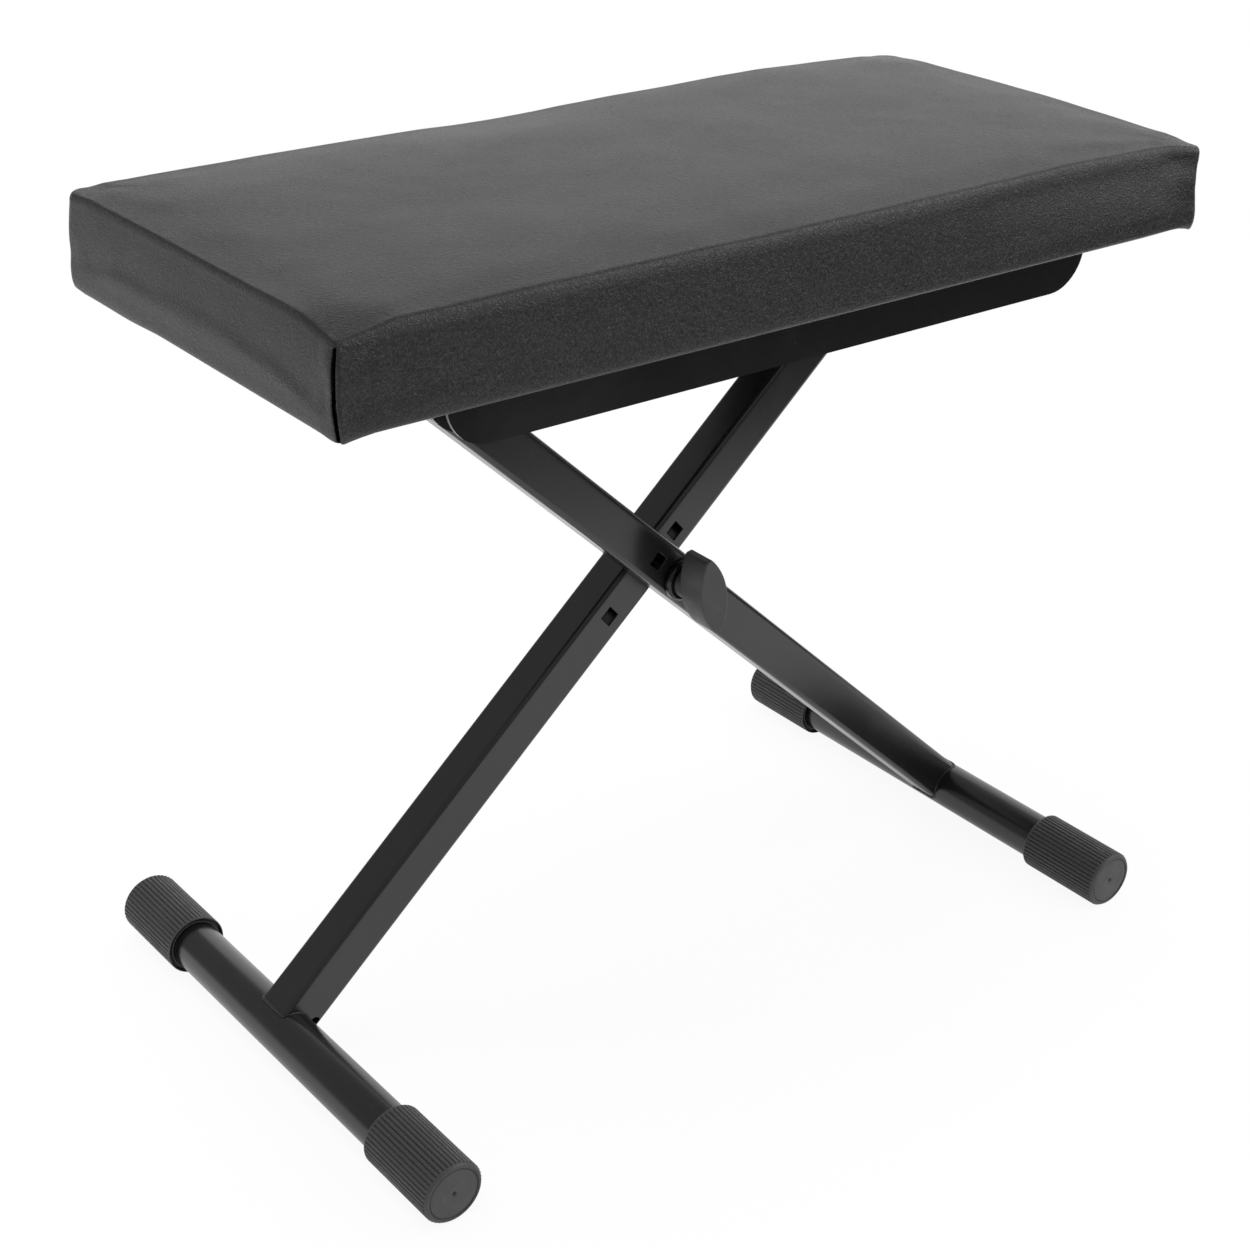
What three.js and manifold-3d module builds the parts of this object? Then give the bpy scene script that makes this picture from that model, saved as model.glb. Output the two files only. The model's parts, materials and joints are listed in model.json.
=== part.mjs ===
// Folding bench for a keyboard player: a padded seat on two steel rails, carried by two legs that
// cross and are held at one of three heights by a bolt through the crossing.
// Millimetres, +Z up, the seat's length along X, the front at -Y, the floor at zero.

import * as THREE from 'three';
import { mergeVertices } from 'three/addons/utils/BufferGeometryUtils.js';
import Module from 'manifold-3d';

const wasm = await Module();
wasm.setup();

// Clearances
const restGap = 0.3;
const runGap = 0.3;
const overrun = 2;

// Seat
const seatLength = 600;
const seatDepth = 270;
const coverHeight = 52;
const coverCrown = 3;
const coverThickness = 1.2;
const coverCorner = 8;
const coverEdge = 10;
const hemEdge = 3;
const hemWidth = 26;
const sideDraw = 2;
const pleatDepth = 2.4;
const leastCorner = 0.5;
const boardThickness = 12;
const boardCorner = 8;
const dustCoverThickness = 0.6;
const dustCoverMargin = 18;
const dustCoverCorner = 6;

// Rails
const railLength = 450;
const railHeight = 29;
const railWidth = 20;
const railWall = 2;
const railBend = 3;
const railEndRadius = 25;
const railMargin = 23;
const railScrewPitch = 150;

// Screws that hold the rails to the board
const screwShank = 5;
const screwLength = 14;
const screwHead = 10;
const screwHeadHeight = 3.2;
const screwRecess = 2.4;
const screwRecessDepth = 1.4;

// Legs
const legLength = 613.5;
const legWidth = 27.5;
const legDepth = 25;
const legWall = 1.5;
const legCorner = 3;
const legTopTrim = 5;
const pivotSpacing = 389;
const pivotDrop = 16;
const holeSize = 9;
const boltReach = 262.5;
const upperHoleStep = 23.5;
const lowerHoleStep = 41.5;
const drainRadius = 2.5;
const spacerThickness = 1.8;
const spacerDiameter = 24;

// Cross tube and pivot at the top of a leg
const crossTubeDiameter = 25;
const crossTubeWall = 1.5;
const pivotBolt = 8;
const pivotBoltLength = 24;
const pivotBoltHead = 13;
const pivotBoltHeadHeight = 5.3;
const pivotWasher = 16;
const pivotWasherThickness = 1.6;
const nylonWasher = 23;
const nylonWasherThickness = 1.2;
const plugLength = 10;

// Foot bars and caps
const footBarDiameter = 30;
const footBarWall = 1.5;
const footSpan = 340;
const footShift = 3;
const capDiameter = 38;
const capLength = 60;
const capEndWall = 4;
const capLip = 5;
const capLipStep = 0.8;
const capShoulder = 2;
const capRimWidth = 2.2;
const capRimDepth = 0.5;
const capDimpleRadius = 1.2;
const capDimpleDepth = 1;
const ribGroove = 1;
const ribGrooveDepth = 0.7;

// Weld beads
const beadWidth = 3;
const beadHeight = 2.5;
const beadStart = 1;

// Cross bolt, collar and knob
const boltDiameter = 8;
const boltHead = 20;
const boltHeadHeight = 4.6;
const boltNeck = 8;
const boltNeckLength = 4;
const boltFrontReach = 24;
const collarDiameter = 25.6;
const collarThickness = 4.7;
const collarChamfer = 0.8;
const hubDiameter = 19;
const hubLength = 10;
const gripLength = 50;
const gripWidth = 20;
const gripEnd = 5;
const gripDepth = 17;
const gripBevel = 1.6;
const gripTilt = THREE.MathUtils.degToRad(12);
const insertDiameter = 12;
const insertLength = 14;

// Facets and copies
const tubeSides = 32;
const capSides = 44;
const ribCount = 44;
const smallSides = 12;
const domeSides = 24;
const gripSteps = 8;
const railEndSteps = 8;
const cornerSteps = 3;
const headSides = 6;
const railScrewCount = 3;

// Outline points along the cushion's sides, as shares of the straight half side
const longSideShares = [0.75, 0.5, 0.25, 0, -0.25, -0.5, -0.75];
const pleatShares = [0.985, 0.965];
const shortSideShares = [0.5, 0, -0.5];
// Cushion rows: heights of the side as shares, and insets of the crown as shares of the half depth
const sideRowShares = [0.12, 0.5, 0.88];
const crownRowShares = [0.22, 0.5, 0.93];
const edgeSteps = 3;

// Heights and places that follow from the sizes
const quarter = Math.PI / 2;
const railInnerFace = seatDepth / 2 - railMargin - railWidth;
const capRadius = capDiameter / 2;
const legSlope = Math.acos(pivotSpacing / 2 / boltReach);
const legTilt = quarter - legSlope;
const pivotHeight = capRadius + legLength * Math.sin(legSlope);
const crossingHeight = pivotHeight - boltReach * Math.sin(legSlope);
const railTop = pivotHeight + pivotDrop;
const dustCoverBottom = railTop + restGap;
const seatBottom = dustCoverBottom + dustCoverThickness + restGap;
const boardBottom = seatBottom + coverThickness + restGap;
const boardTop = boardBottom + boardThickness;
const seatTop = seatBottom + coverHeight;
const legInnerFace = spacerThickness / 2 + runGap;
const legOuterFace = legInnerFace + legDepth;
const legCentre = legInnerFace + legDepth / 2;
const railCentre = railInnerFace + railWidth / 2;
const crossTubeEnd = railInnerFace - nylonWasherThickness - 2 * restGap;

// Closed geometry as a solid for cuts and joins
function solidOf(geometry) {
  const bare = geometry.clone();
  bare.deleteAttribute('normal');
  bare.deleteAttribute('uv');
  const merged = mergeVertices(bare);
  return new wasm.Manifold(new wasm.Mesh({
    numProp: 3,
    vertProperties: new Float32Array(merged.getAttribute('position').array),
    triVerts: new Uint32Array(merged.index.array),
  }));
}

// A solid as geometry with flat normals
function geometryOf(solid) {
  const made = solid.getMesh();
  const geometry = new THREE.BufferGeometry();
  geometry.setAttribute('position', new THREE.BufferAttribute(made.vertProperties, 3));
  geometry.setIndex(new THREE.BufferAttribute(made.triVerts, 1));
  geometry.computeVertexNormals();
  return geometry;
}

// The first geometry less all the others
function cut(base, cutters) {
  let solid = solidOf(base);
  for (const cutter of cutters) {
    solid = solid.subtract(solidOf(cutter));
  }
  return geometryOf(solid);
}

function joined(first, second) {
  return geometryOf(solidOf(first).add(solidOf(second)));
}

function shared(first, second) {
  return geometryOf(solidOf(first).intersect(solidOf(second)));
}

function rodY(radius, from, to, sides, x = 0, z = 0) {
  const rod = new THREE.CylinderGeometry(radius, radius, to - from, sides);
  return rod.translate(x, (from + to) / 2, z);
}

function rodZ(radius, from, to, sides, x = 0, y = 0) {
  const rod = new THREE.CylinderGeometry(radius, radius, to - from, sides);
  return rod.rotateX(quarter).translate(x, y, (from + to) / 2);
}

// Profile of [radius, place] pairs turned about Y, closed on itself or on the axis
function turned(profile, sides) {
  return new THREE.LatheGeometry(profile.map(([r, y]) => new THREE.Vector2(r, y)), sides);
}

function ringY(outer, inner, from, to, sides) {
  return turned([[outer, from], [outer, to], [inner, to], [inner, from], [outer, from]], sides);
}

function roundedRectangle(width, depth, radius, Kind = THREE.Shape) {
  const x = width / 2;
  const y = depth / 2;
  const path = new Kind();
  path.moveTo(-x + radius, -y);
  path.lineTo(x - radius, -y);
  path.absarc(x - radius, -y + radius, radius, -quarter, 0);
  path.lineTo(x, y - radius);
  path.absarc(x - radius, y - radius, radius, 0, quarter);
  path.lineTo(-x + radius, y);
  path.absarc(-x + radius, y - radius, radius, quarter, 2 * quarter);
  path.lineTo(-x, -y + radius);
  path.absarc(-x + radius, -y + radius, radius, 2 * quarter, 3 * quarter);
  return path;
}

function extruded(shape, depth, curveSegments = edgeSteps) {
  return new THREE.ExtrudeGeometry(shape, { depth, curveSegments, bevelEnabled: false });
}

// Turns a shape drawn in Y and Z, extruded along its normal, to lie along X
function alongX(geometry) {
  const basis = new THREE.Matrix4().makeBasis(
    new THREE.Vector3(0, 1, 0), new THREE.Vector3(0, 0, 1), new THREE.Vector3(1, 0, 0));
  return geometry.applyMatrix4(basis);
}

// Turns a shape drawn in X and Z, extruded along its normal, to lie along -Y
function alongMinusY(geometry) {
  const basis = new THREE.Matrix4().makeBasis(
    new THREE.Vector3(1, 0, 0), new THREE.Vector3(0, 0, 1), new THREE.Vector3(0, -1, 0));
  return geometry.applyMatrix4(basis);
}

// Skin through rings of equal count, each anticlockwise seen from above, with both ends capped
function loft(rings) {
  const count = rings[0].length;
  const positions = rings.flat().flatMap((p) => [p.x, p.y, p.z]);
  const index = [];
  const at = (row, point) => row * count + (point % count);
  for (let row = 0; row < rings.length - 1; row += 1) {
    for (let point = 0; point < count; point += 1) {
      index.push(at(row, point), at(row, point + 1), at(row + 1, point + 1));
      index.push(at(row, point), at(row + 1, point + 1), at(row + 1, point));
    }
  }
  const last = rings.length - 1;
  for (const row of [0, last]) {
    const centre = rings[row].reduce((sum, p) => sum.add(p), new THREE.Vector3()).divideScalar(count);
    const hub = positions.length / 3;
    positions.push(centre.x, centre.y, centre.z);
    for (let point = 0; point < count; point += 1) {
      const pair = [at(row, point), at(row, point + 1)];
      index.push(hub, ...(row === last ? pair : pair.reverse()));
    }
  }
  const geometry = new THREE.BufferGeometry();
  geometry.setAttribute('position', new THREE.Float32BufferAttribute(positions, 3));
  geometry.setIndex(index);
  geometry.computeVertexNormals();
  return geometry;
}

// One level outline of the cushion, drawn in by inset, with a fold of the given depth at each corner
function cushionRing(inset, height, fold) {
  const halfLength = seatLength / 2 - inset;
  const halfDepth = seatDepth / 2 - inset;
  const corner = Math.max(coverCorner - inset, leastCorner);
  const straightX = halfLength - corner;
  const straightY = halfDepth - corner;
  const ring = [];
  const place = (x, y) => ring.push(new THREE.Vector3(x, y, height));
  const arc = (signX, signY, start) => {
    for (let step = 0; step <= cornerSteps; step += 1) {
      const angle = start + (quarter * step) / cornerSteps;
      place(signX * straightX + corner * Math.cos(angle), signY * straightY + corner * Math.sin(angle));
    }
  };
  const shortSide = (sign) => {
    place(sign * (halfLength - fold), -sign * straightY * pleatShares[0]);
    place(sign * halfLength, -sign * straightY * pleatShares[1]);
    for (const share of shortSideShares) {
      place(sign * halfLength, -sign * straightY * share);
    }
    place(sign * halfLength, sign * straightY * pleatShares[1]);
    place(sign * (halfLength - fold), sign * straightY * pleatShares[0]);
  };
  const longSide = (sign) => {
    for (const share of longSideShares) {
      place(sign * straightX * share, sign * halfDepth);
    }
  };
  arc(1, -1, -quarter);
  shortSide(1);
  arc(1, 1, 0);
  longSide(1);
  arc(-1, 1, quarter);
  shortSide(-1);
  arc(-1, -1, 2 * quarter);
  longSide(-1);
  return ring;
}

// How far the side is drawn in at a height: fullest half way up
function drawAt(height) {
  const fromMiddle = (height - seatBottom) / coverHeight * 2 - 1;
  return sideDraw * fromMiddle * fromMiddle;
}

// Rows of the padded form from the bottom height up to its crown, set inwards by skin, with folded corners
function cushionRows(skin, bottom, fold) {
  const rows = [];
  const shoulder = seatTop - coverEdge;
  const shoulderDraw = drawAt(shoulder);
  for (const share of sideRowShares) {
    const height = bottom + (shoulder - bottom) * share;
    rows.push(cushionRing(drawAt(height) + skin, height, fold));
  }
  for (let step = 0; step <= edgeSteps; step += 1) {
    const angle = (quarter * step) / edgeSteps;
    const radius = coverEdge - skin;
    const inset = shoulderDraw + coverEdge - radius * Math.cos(angle);
    rows.push(cushionRing(inset, shoulder + radius * Math.sin(angle), fold * Math.cos(angle)));
  }
  for (const share of crownRowShares) {
    const rise = coverCrown * Math.sin(quarter * share);
    rows.push(cushionRing(seatDepth / 2 * share, seatTop + rise - skin, 0));
  }
  return rows;
}

function coverGeometry() {
  const draw = drawAt(seatBottom);
  const bevel = hemEdge * (1 - Math.SQRT1_2);
  const inside = cushionRows(coverThickness, seatBottom + hemEdge, pleatDepth).reverse();
  inside.push(cushionRing(draw + coverThickness, seatBottom + hemEdge, pleatDepth));
  inside.push(cushionRing(draw + hemEdge, seatBottom + coverThickness, 0));
  inside.push(cushionRing(hemWidth, seatBottom + coverThickness, 0));
  const outside = [
    cushionRing(hemWidth, seatBottom, 0),
    cushionRing(draw + hemEdge, seatBottom, 0),
    cushionRing(draw + bevel, seatBottom + bevel, pleatDepth),
    cushionRing(draw, seatBottom + hemEdge, pleatDepth),
  ];
  return loft([...inside, ...outside, ...cushionRows(0, seatBottom + hemEdge, pleatDepth)]);
}

function foamGeometry() {
  const skin = coverThickness + restGap;
  const bottom = boardTop + restGap;
  const fold = pleatDepth + restGap;
  return loft([cushionRing(drawAt(bottom) + skin, bottom, fold), ...cushionRows(skin, bottom, fold)]);
}

// Places of the screws along a rail
function screwPlaces() {
  const middle = (railScrewCount - 1) / 2;
  return Array.from({ length: railScrewCount }, (unused, i) => (i - middle) * railScrewPitch);
}

function screwCutters(radius, from, to) {
  return screwPlaces().flatMap((x) => [
    rodZ(radius, from, to, smallSides, x, railCentre),
    rodZ(radius, from, to, smallSides, x, -railCentre),
  ]);
}

function boardGeometry() {
  const inset = drawAt(seatBottom) + coverThickness + pleatDepth + restGap;
  const outline = roundedRectangle(seatLength - 2 * inset, seatDepth - 2 * inset, boardCorner);
  const board = extruded(outline, boardThickness).translate(0, 0, boardBottom);
  const tip = railTop - railWall + screwLength;
  return cut(board, screwCutters(screwShank / 2 + restGap, boardBottom - overrun, tip));
}

function dustCoverGeometry() {
  const outline = roundedRectangle(
    seatLength - 2 * dustCoverMargin, seatDepth - 2 * dustCoverMargin, dustCoverCorner);
  const sheet = extruded(outline, dustCoverThickness).translate(0, 0, dustCoverBottom);
  const top = dustCoverBottom + dustCoverThickness;
  return cut(sheet, screwCutters(screwShank / 2 + restGap, dustCoverBottom - overrun, top + overrun));
}

// Channel, open downwards, with its end corners rounded and the pivot holes in its inner side
function railGeometry() {
  const low = railTop - railHeight;
  const section = new THREE.Shape();
  const inner = railInnerFace;
  const outer = railInnerFace + railWidth;
  const innerBend = railBend - railWall;
  section.moveTo(inner, low);
  section.lineTo(inner + railWall, low);
  section.lineTo(inner + railWall, railTop - railBend);
  section.absarc(inner + railBend, railTop - railBend, innerBend, 2 * quarter, quarter, true);
  section.lineTo(outer - railBend, railTop - railWall);
  section.absarc(outer - railBend, railTop - railBend, innerBend, quarter, 0, true);
  section.lineTo(outer - railWall, low);
  section.lineTo(outer, low);
  section.lineTo(outer, railTop - railBend);
  section.absarc(outer - railBend, railTop - railBend, railBend, 0, quarter);
  section.lineTo(inner + railBend, railTop);
  section.absarc(inner + railBend, railTop - railBend, railBend, quarter, 2 * quarter);
  const channel = alongX(extruded(section, railLength)).translate(-railLength / 2, 0, 0);

  const end = railLength / 2;
  const side = new THREE.Shape();
  side.moveTo(-end + railEndRadius, low);
  side.lineTo(end - railEndRadius, low);
  side.absarc(end - railEndRadius, low + railEndRadius, railEndRadius, -quarter, 0);
  side.lineTo(end, railTop + overrun);
  side.lineTo(-end, railTop + overrun);
  side.absarc(-end + railEndRadius, low + railEndRadius, railEndRadius, 2 * quarter, 3 * quarter);
  const block = alongMinusY(extruded(side, railWidth + 2 * overrun, railEndSteps));
  const shaped = shared(channel, block.translate(0, outer + overrun, 0));

  const pivotCutters = [-1, 1].map((sign) => rodY(
    pivotBolt / 2 + runGap, inner - overrun, inner + railWall + overrun, smallSides,
    sign * pivotSpacing / 2, pivotHeight));
  const screwHoles = screwPlaces().map((x) => rodZ(
    screwShank / 2 + restGap, railTop - railWall - overrun, railTop + overrun, smallSides, x, railCentre));
  return cut(shaped, [...pivotCutters, ...screwHoles]);
}

// Pan-head screw, head down, its shank up through the rail into the board
function screwGeometry() {
  const under = railTop - railWall - restGap;
  const low = under - screwHeadHeight;
  const rim = low + screwHeadHeight / 2;
  const screw = turned([
    [0, low], [screwHead / 2 - screwHeadHeight / 2, low], [screwHead / 2, rim], [screwHead / 2, under],
    [screwShank / 2, under], [screwShank / 2, under + screwLength - screwShank / 2],
    [0, under + screwLength],
  ], smallSides).rotateX(quarter);
  const recess = [0, quarter].map((turn) => new THREE.BoxGeometry(
    screwHead / 2, screwRecess / 2, 2 * screwRecessDepth).rotateZ(turn).translate(0, 0, low));
  return cut(screw, recess);
}

// Leg tube in the leg's own frame: the pivot at the origin, the foot bar's axis legLength below
function legTubeGeometry() {
  const outline = roundedRectangle(legWidth, legDepth, legCorner);
  outline.holes.push(roundedRectangle(
    legWidth - 2 * legWall, legDepth - 2 * legWall, legCorner - legWall, THREE.Path));
  const tube = extruded(outline, legLength - legTopTrim).translate(0, legCentre, -legLength);
  const front = legInnerFace - overrun;
  const back = legOuterFace + overrun;
  const holes = [boltReach - upperHoleStep, boltReach, boltReach + lowerHoleStep].map(
    (reach) => new THREE.BoxGeometry(holeSize, back - front, holeSize).translate(0, legCentre, -reach));
  const footSaddle = rodY(footBarDiameter / 2 + restGap, front, back, tubeSides, 0, -legLength);
  const topSaddle = rodY(crossTubeDiameter / 2 + restGap, front, back, tubeSides);
  const drain = rodY(drainRadius, front, legInnerFace + legWall + overrun, smallSides,
    legWidth / 2 - drainRadius, -legLength + footBarDiameter / 2);
  return cut(tube, [...holes, footSaddle, topSaddle, drain]);
}

// Weld bead round a leg tube where it meets a round tube at the given height, above it or below it
function beadGeometry(tubeRadius, height, up) {
  const ring = roundedRectangle(
    legWidth + 2 * (restGap + beadWidth), legDepth + 2 * (restGap + beadWidth), legCorner + beadWidth);
  ring.holes.push(roundedRectangle(
    legWidth + 2 * restGap, legDepth + 2 * restGap, legCorner + restGap, THREE.Path));
  const reach = tubeRadius + restGap + beadHeight;
  const collar = extruded(ring, reach).translate(0, legCentre, up > 0 ? beadStart : -beadStart - reach);
  const along = legDepth / 2 + restGap + beadWidth + overrun;
  const shell = ringY(reach, tubeRadius + restGap, legCentre - along, legCentre + along, tubeSides);
  return shared(collar, shell).translate(0, 0, height);
}

function crossTubeGeometry() {
  const radius = crossTubeDiameter / 2;
  return ringY(radius, radius - crossTubeWall, -crossTubeEnd, crossTubeEnd, tubeSides);
}

function footBarGeometry() {
  const end = footSpan / 2 - capEndWall - restGap;
  const radius = footBarDiameter / 2;
  return ringY(radius, radius - footBarWall, -end, end, tubeSides);
}

// End cap of a foot bar, its mouth at -Y: a ribbed cup with a rim and a dimple in its end
function capGeometry() {
  const end = footSpan / 2;
  const mouth = end - capLength;
  const bore = footBarDiameter / 2 + restGap;
  const lip = capRadius - capLipStep;
  const face = end - capRimDepth;
  const cup = turned([
    [0, end - capEndWall], [bore, end - capEndWall], [bore, mouth], [lip, mouth], [lip, mouth + capLip],
    [capRadius, mouth + capLip + capLipStep], [capRadius, end - capShoulder],
    [capRadius - capShoulder, end], [capRadius - capShoulder - capRimWidth, end],
    [capRadius - capShoulder - capRimWidth, face], [capDimpleRadius, face], [0, face - capDimpleDepth],
  ], capSides);
  const grooves = Array.from({ length: ribCount }, (unused, i) => {
    const section = new THREE.Shape();
    section.moveTo(-ribGroove / 2, capRadius);
    section.lineTo(0, capRadius - ribGrooveDepth);
    section.lineTo(ribGroove / 2, capRadius);
    section.lineTo(0, capRadius + overrun);
    const groove = alongMinusY(extruded(section, capLength - capLip - capShoulder));
    return groove.translate(0, end - capShoulder / 2, 0).rotateY((4 * quarter * (i + 1 / 2)) / ribCount);
  });
  return cut(cup, grooves);
}

// Weld plug in the end of the cross tube, at +Y
function plugGeometry() {
  const radius = crossTubeDiameter / 2 - crossTubeWall - restGap;
  return ringY(radius, pivotBolt / 2 + runGap, crossTubeEnd - plugLength, crossTubeEnd, smallSides);
}

function nylonWasherGeometry() {
  const start = crossTubeEnd + restGap;
  return ringY(nylonWasher / 2, pivotBolt / 2 + runGap, start, start + nylonWasherThickness, smallSides);
}

function pivotWasherGeometry() {
  const start = railInnerFace + railWall + restGap;
  return ringY(pivotWasher / 2, pivotBolt / 2 + runGap, start, start + pivotWasherThickness, smallSides);
}

// Hexagon bolt, its head inside the rail and its shank through the washers into the plug
function pivotBoltGeometry() {
  const seat = railInnerFace + railWall + pivotWasherThickness + 2 * restGap;
  const across = pivotBoltHead / 2 / Math.cos(quarter / 3);
  const head = rodY(across, seat, seat + pivotBoltHeadHeight, headSides);
  return joined(head, rodY(pivotBolt / 2, seat - pivotBoltLength, seat + railWall, smallSides));
}

// Domed head and square neck of the cross bolt, behind the rear leg, in the leg's own frame
function boltHeadGeometry() {
  const seat = legOuterFace + restGap;
  const end = legInnerFace - runGap;
  const radius = boltHead / 2;
  const head = turned([
    [0, seat], [radius, seat], [radius, seat + boltHeadHeight / 4],
    [radius * Math.cos(quarter / 2), seat + boltHeadHeight * 3 / 4], [0, seat + boltHeadHeight],
  ], domeSides);
  const neck = new THREE.BoxGeometry(boltNeck, boltNeckLength + overrun, boltNeck);
  neck.translate(0, seat + overrun / 2 - boltNeckLength / 2, 0);
  const shank = rodY(boltDiameter / 2, end, seat, smallSides);
  return joined(joined(head, neck), shank);
}

// Threaded part of the cross bolt, through the front leg and the collar into the knob
function boltThreadGeometry() {
  return rodY(boltDiameter / 2, -legOuterFace - boltFrontReach, -legInnerFace, smallSides);
}

function spacerGeometry() {
  const half = spacerThickness / 2;
  return ringY(spacerDiameter / 2, boltDiameter / 2 + runGap, -half, half, domeSides);
}

function collarGeometry() {
  const back = -legOuterFace - restGap;
  const front = back - collarThickness;
  const radius = collarDiameter / 2;
  const bore = boltDiameter / 2 + runGap;
  return turned([
    [bore, front], [radius - collarChamfer, front], [radius, front + collarChamfer], [radius, back],
    [bore, back], [bore, front],
  ], tubeSides);
}

// Wing knob: a lens-shaped grip on a round hub, with a pocket for the threaded insert
function knobGeometry() {
  const back = -legOuterFace - collarThickness - 2 * restGap;
  const half = gripLength / 2;
  const bulge = (gripWidth - gripEnd) / 2;
  const radius = (half * half + bulge * bulge) / (2 * bulge);
  const offset = radius - gripWidth / 2;
  const sweep = Math.asin(half / radius);
  const lens = new THREE.Shape();
  lens.moveTo(gripEnd / 2, -half);
  lens.absarc(-offset, 0, radius, -sweep, sweep);
  lens.lineTo(-gripEnd / 2, half);
  lens.absarc(offset, 0, radius, 2 * quarter - sweep, 2 * quarter + sweep);
  const grip = alongMinusY(new THREE.ExtrudeGeometry(lens, {
    depth: gripDepth - 2 * gripBevel, curveSegments: gripSteps, bevelThickness: gripBevel,
    bevelSize: gripBevel, bevelOffset: -gripBevel, bevelSegments: 2,
  }));
  grip.rotateY(-gripTilt).translate(0, back - hubLength + overrun / 2 - gripBevel, 0);
  const hub = rodY(hubDiameter / 2, back - hubLength - overrun, back, tubeSides);
  const pocket = rodY(insertDiameter / 2 + restGap, back - insertLength - restGap, back + overrun, smallSides);
  const bore = rodY(boltDiameter / 2 + runGap, -legOuterFace - boltFrontReach - overrun, back, smallSides);
  return cut(joined(grip, hub), [pocket, bore]);
}

function insertGeometry() {
  const back = -legOuterFace - collarThickness - 2 * restGap;
  return ringY(insertDiameter / 2, boltDiameter / 2 + runGap, back - insertLength, back, smallSides);
}

// Finishes
const leatherette = { color: 0x1c1c1e, roughness: 0.55, metalness: 0 };
const foam = { color: 0x8f8a78, roughness: 1, metalness: 0 };
const plywood = { color: 0xa98556, roughness: 0.8, metalness: 0 };
const nonWoven = { color: 0x17171a, roughness: 0.95, metalness: 0 };
const powderCoat = { color: 0x111112, roughness: 0.35, metalness: 0.3 };
const blackPlastic = { color: 0x1a1a1c, roughness: 0.6, metalness: 0 };
const zinc = { color: 0x9a9ca0, roughness: 0.4, metalness: 0.9 };
const nylon = { color: 0xd9d6cc, roughness: 0.6, metalness: 0 };

const bench = new THREE.Group();

function add(parent, name, geometry, finish) {
  const mesh = new THREE.Mesh(geometry, new THREE.MeshStandardMaterial(finish));
  mesh.name = name;
  parent.add(mesh);
  return mesh;
}

// Seat
add(bench, 'seat_cover', coverGeometry(), leatherette);
add(bench, 'seat_foam', foamGeometry(), foam);
add(bench, 'seat_board', boardGeometry(), plywood);
add(bench, 'dust_cover', dustCoverGeometry(), nonWoven);

// Rails with their screws: the front one is the rear one turned half round
for (const [place, turn] of [['rear', 0], ['front', 2 * quarter]]) {
  const group = new THREE.Group();
  group.rotation.z = turn;
  bench.add(group);
  add(group, `${place}_rail`, railGeometry(), powderCoat);
  for (const [i, x] of screwPlaces().entries()) {
    add(group, `${place}_rail_screw_${i + 1}`, screwGeometry(), zinc).position.set(x, railCentre, 0);
  }
}

// Legs: leg a stands on the left foot behind, and leg b is the same frame turned half round
for (const [leg, turn] of [['a', 0], ['b', 2 * quarter]]) {
  const side = new THREE.Group();
  side.rotation.z = turn;
  bench.add(side);
  const frame = new THREE.Group();
  frame.position.set(pivotSpacing / 2, 0, pivotHeight);
  frame.rotation.y = legTilt;
  side.add(frame);
  add(frame, `leg_${leg}_tube`, legTubeGeometry(), powderCoat);
  add(frame, `leg_${leg}_cross_tube`, crossTubeGeometry(), powderCoat);
  add(frame, `leg_${leg}_top_weld`, beadGeometry(crossTubeDiameter / 2, 0, -1), powderCoat);
  add(frame, `leg_${leg}_foot_weld`, beadGeometry(footBarDiameter / 2, -legLength, 1), powderCoat);
  add(frame, `leg_${leg}_foot_bar`, footBarGeometry(), powderCoat).position.set(0, footShift, -legLength);
  for (const [end, half] of [['1', 0], ['2', 2 * quarter]]) {
    const cap = add(frame, `leg_${leg}_cap_${end}`, capGeometry(), blackPlastic);
    cap.position.set(0, footShift, -legLength);
    cap.rotation.z = half;
    add(frame, `leg_${leg}_end_plug_${end}`, plugGeometry(), zinc).rotation.z = half;
    add(frame, `leg_${leg}_nylon_washer_${end}`, nylonWasherGeometry(), nylon).rotation.z = half;
    add(frame, `leg_${leg}_washer_${end}`, pivotWasherGeometry(), zinc).rotation.z = half;
    add(frame, `leg_${leg}_pivot_bolt_${end}`, pivotBoltGeometry(), zinc).rotation.z = half;
  }
  if (leg === 'a') {
    add(frame, 'cross_bolt_head', boltHeadGeometry(), zinc).position.set(0, 0, -boltReach);
    add(frame, 'leg_spacer', spacerGeometry(), nylon).position.set(0, 0, -boltReach);
  }
}

// Clamp at the crossing, in front of leg b
const clamp = new THREE.Group();
clamp.position.set(0, 0, crossingHeight);
bench.add(clamp);
add(clamp, 'cross_bolt_thread', boltThreadGeometry(), zinc);
add(clamp, 'knob_collar', collarGeometry(), blackPlastic);
add(clamp, 'knob', knobGeometry(), blackPlastic);
add(clamp, 'knob_insert', insertGeometry(), zinc);

export default bench;
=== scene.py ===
"""Visual model of a folding bench: a padded seat on two steel rails, carried by two crossed tube legs.

Sizes in the classes are millimetres in the object's own frame, and a blank is scaled to metres when it
becomes a piece. Places that the solids already hold are read from them.
"""

import json
import logging
import math
from collections.abc import Callable, Iterable, Sequence
from dataclasses import dataclass
from enum import Enum

import bmesh
import bpy
from mathutils import Matrix, Vector, noise
from mathutils.bvhtree import BVHTree
from mathutils.interpolate import poly_3d_calc


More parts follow.
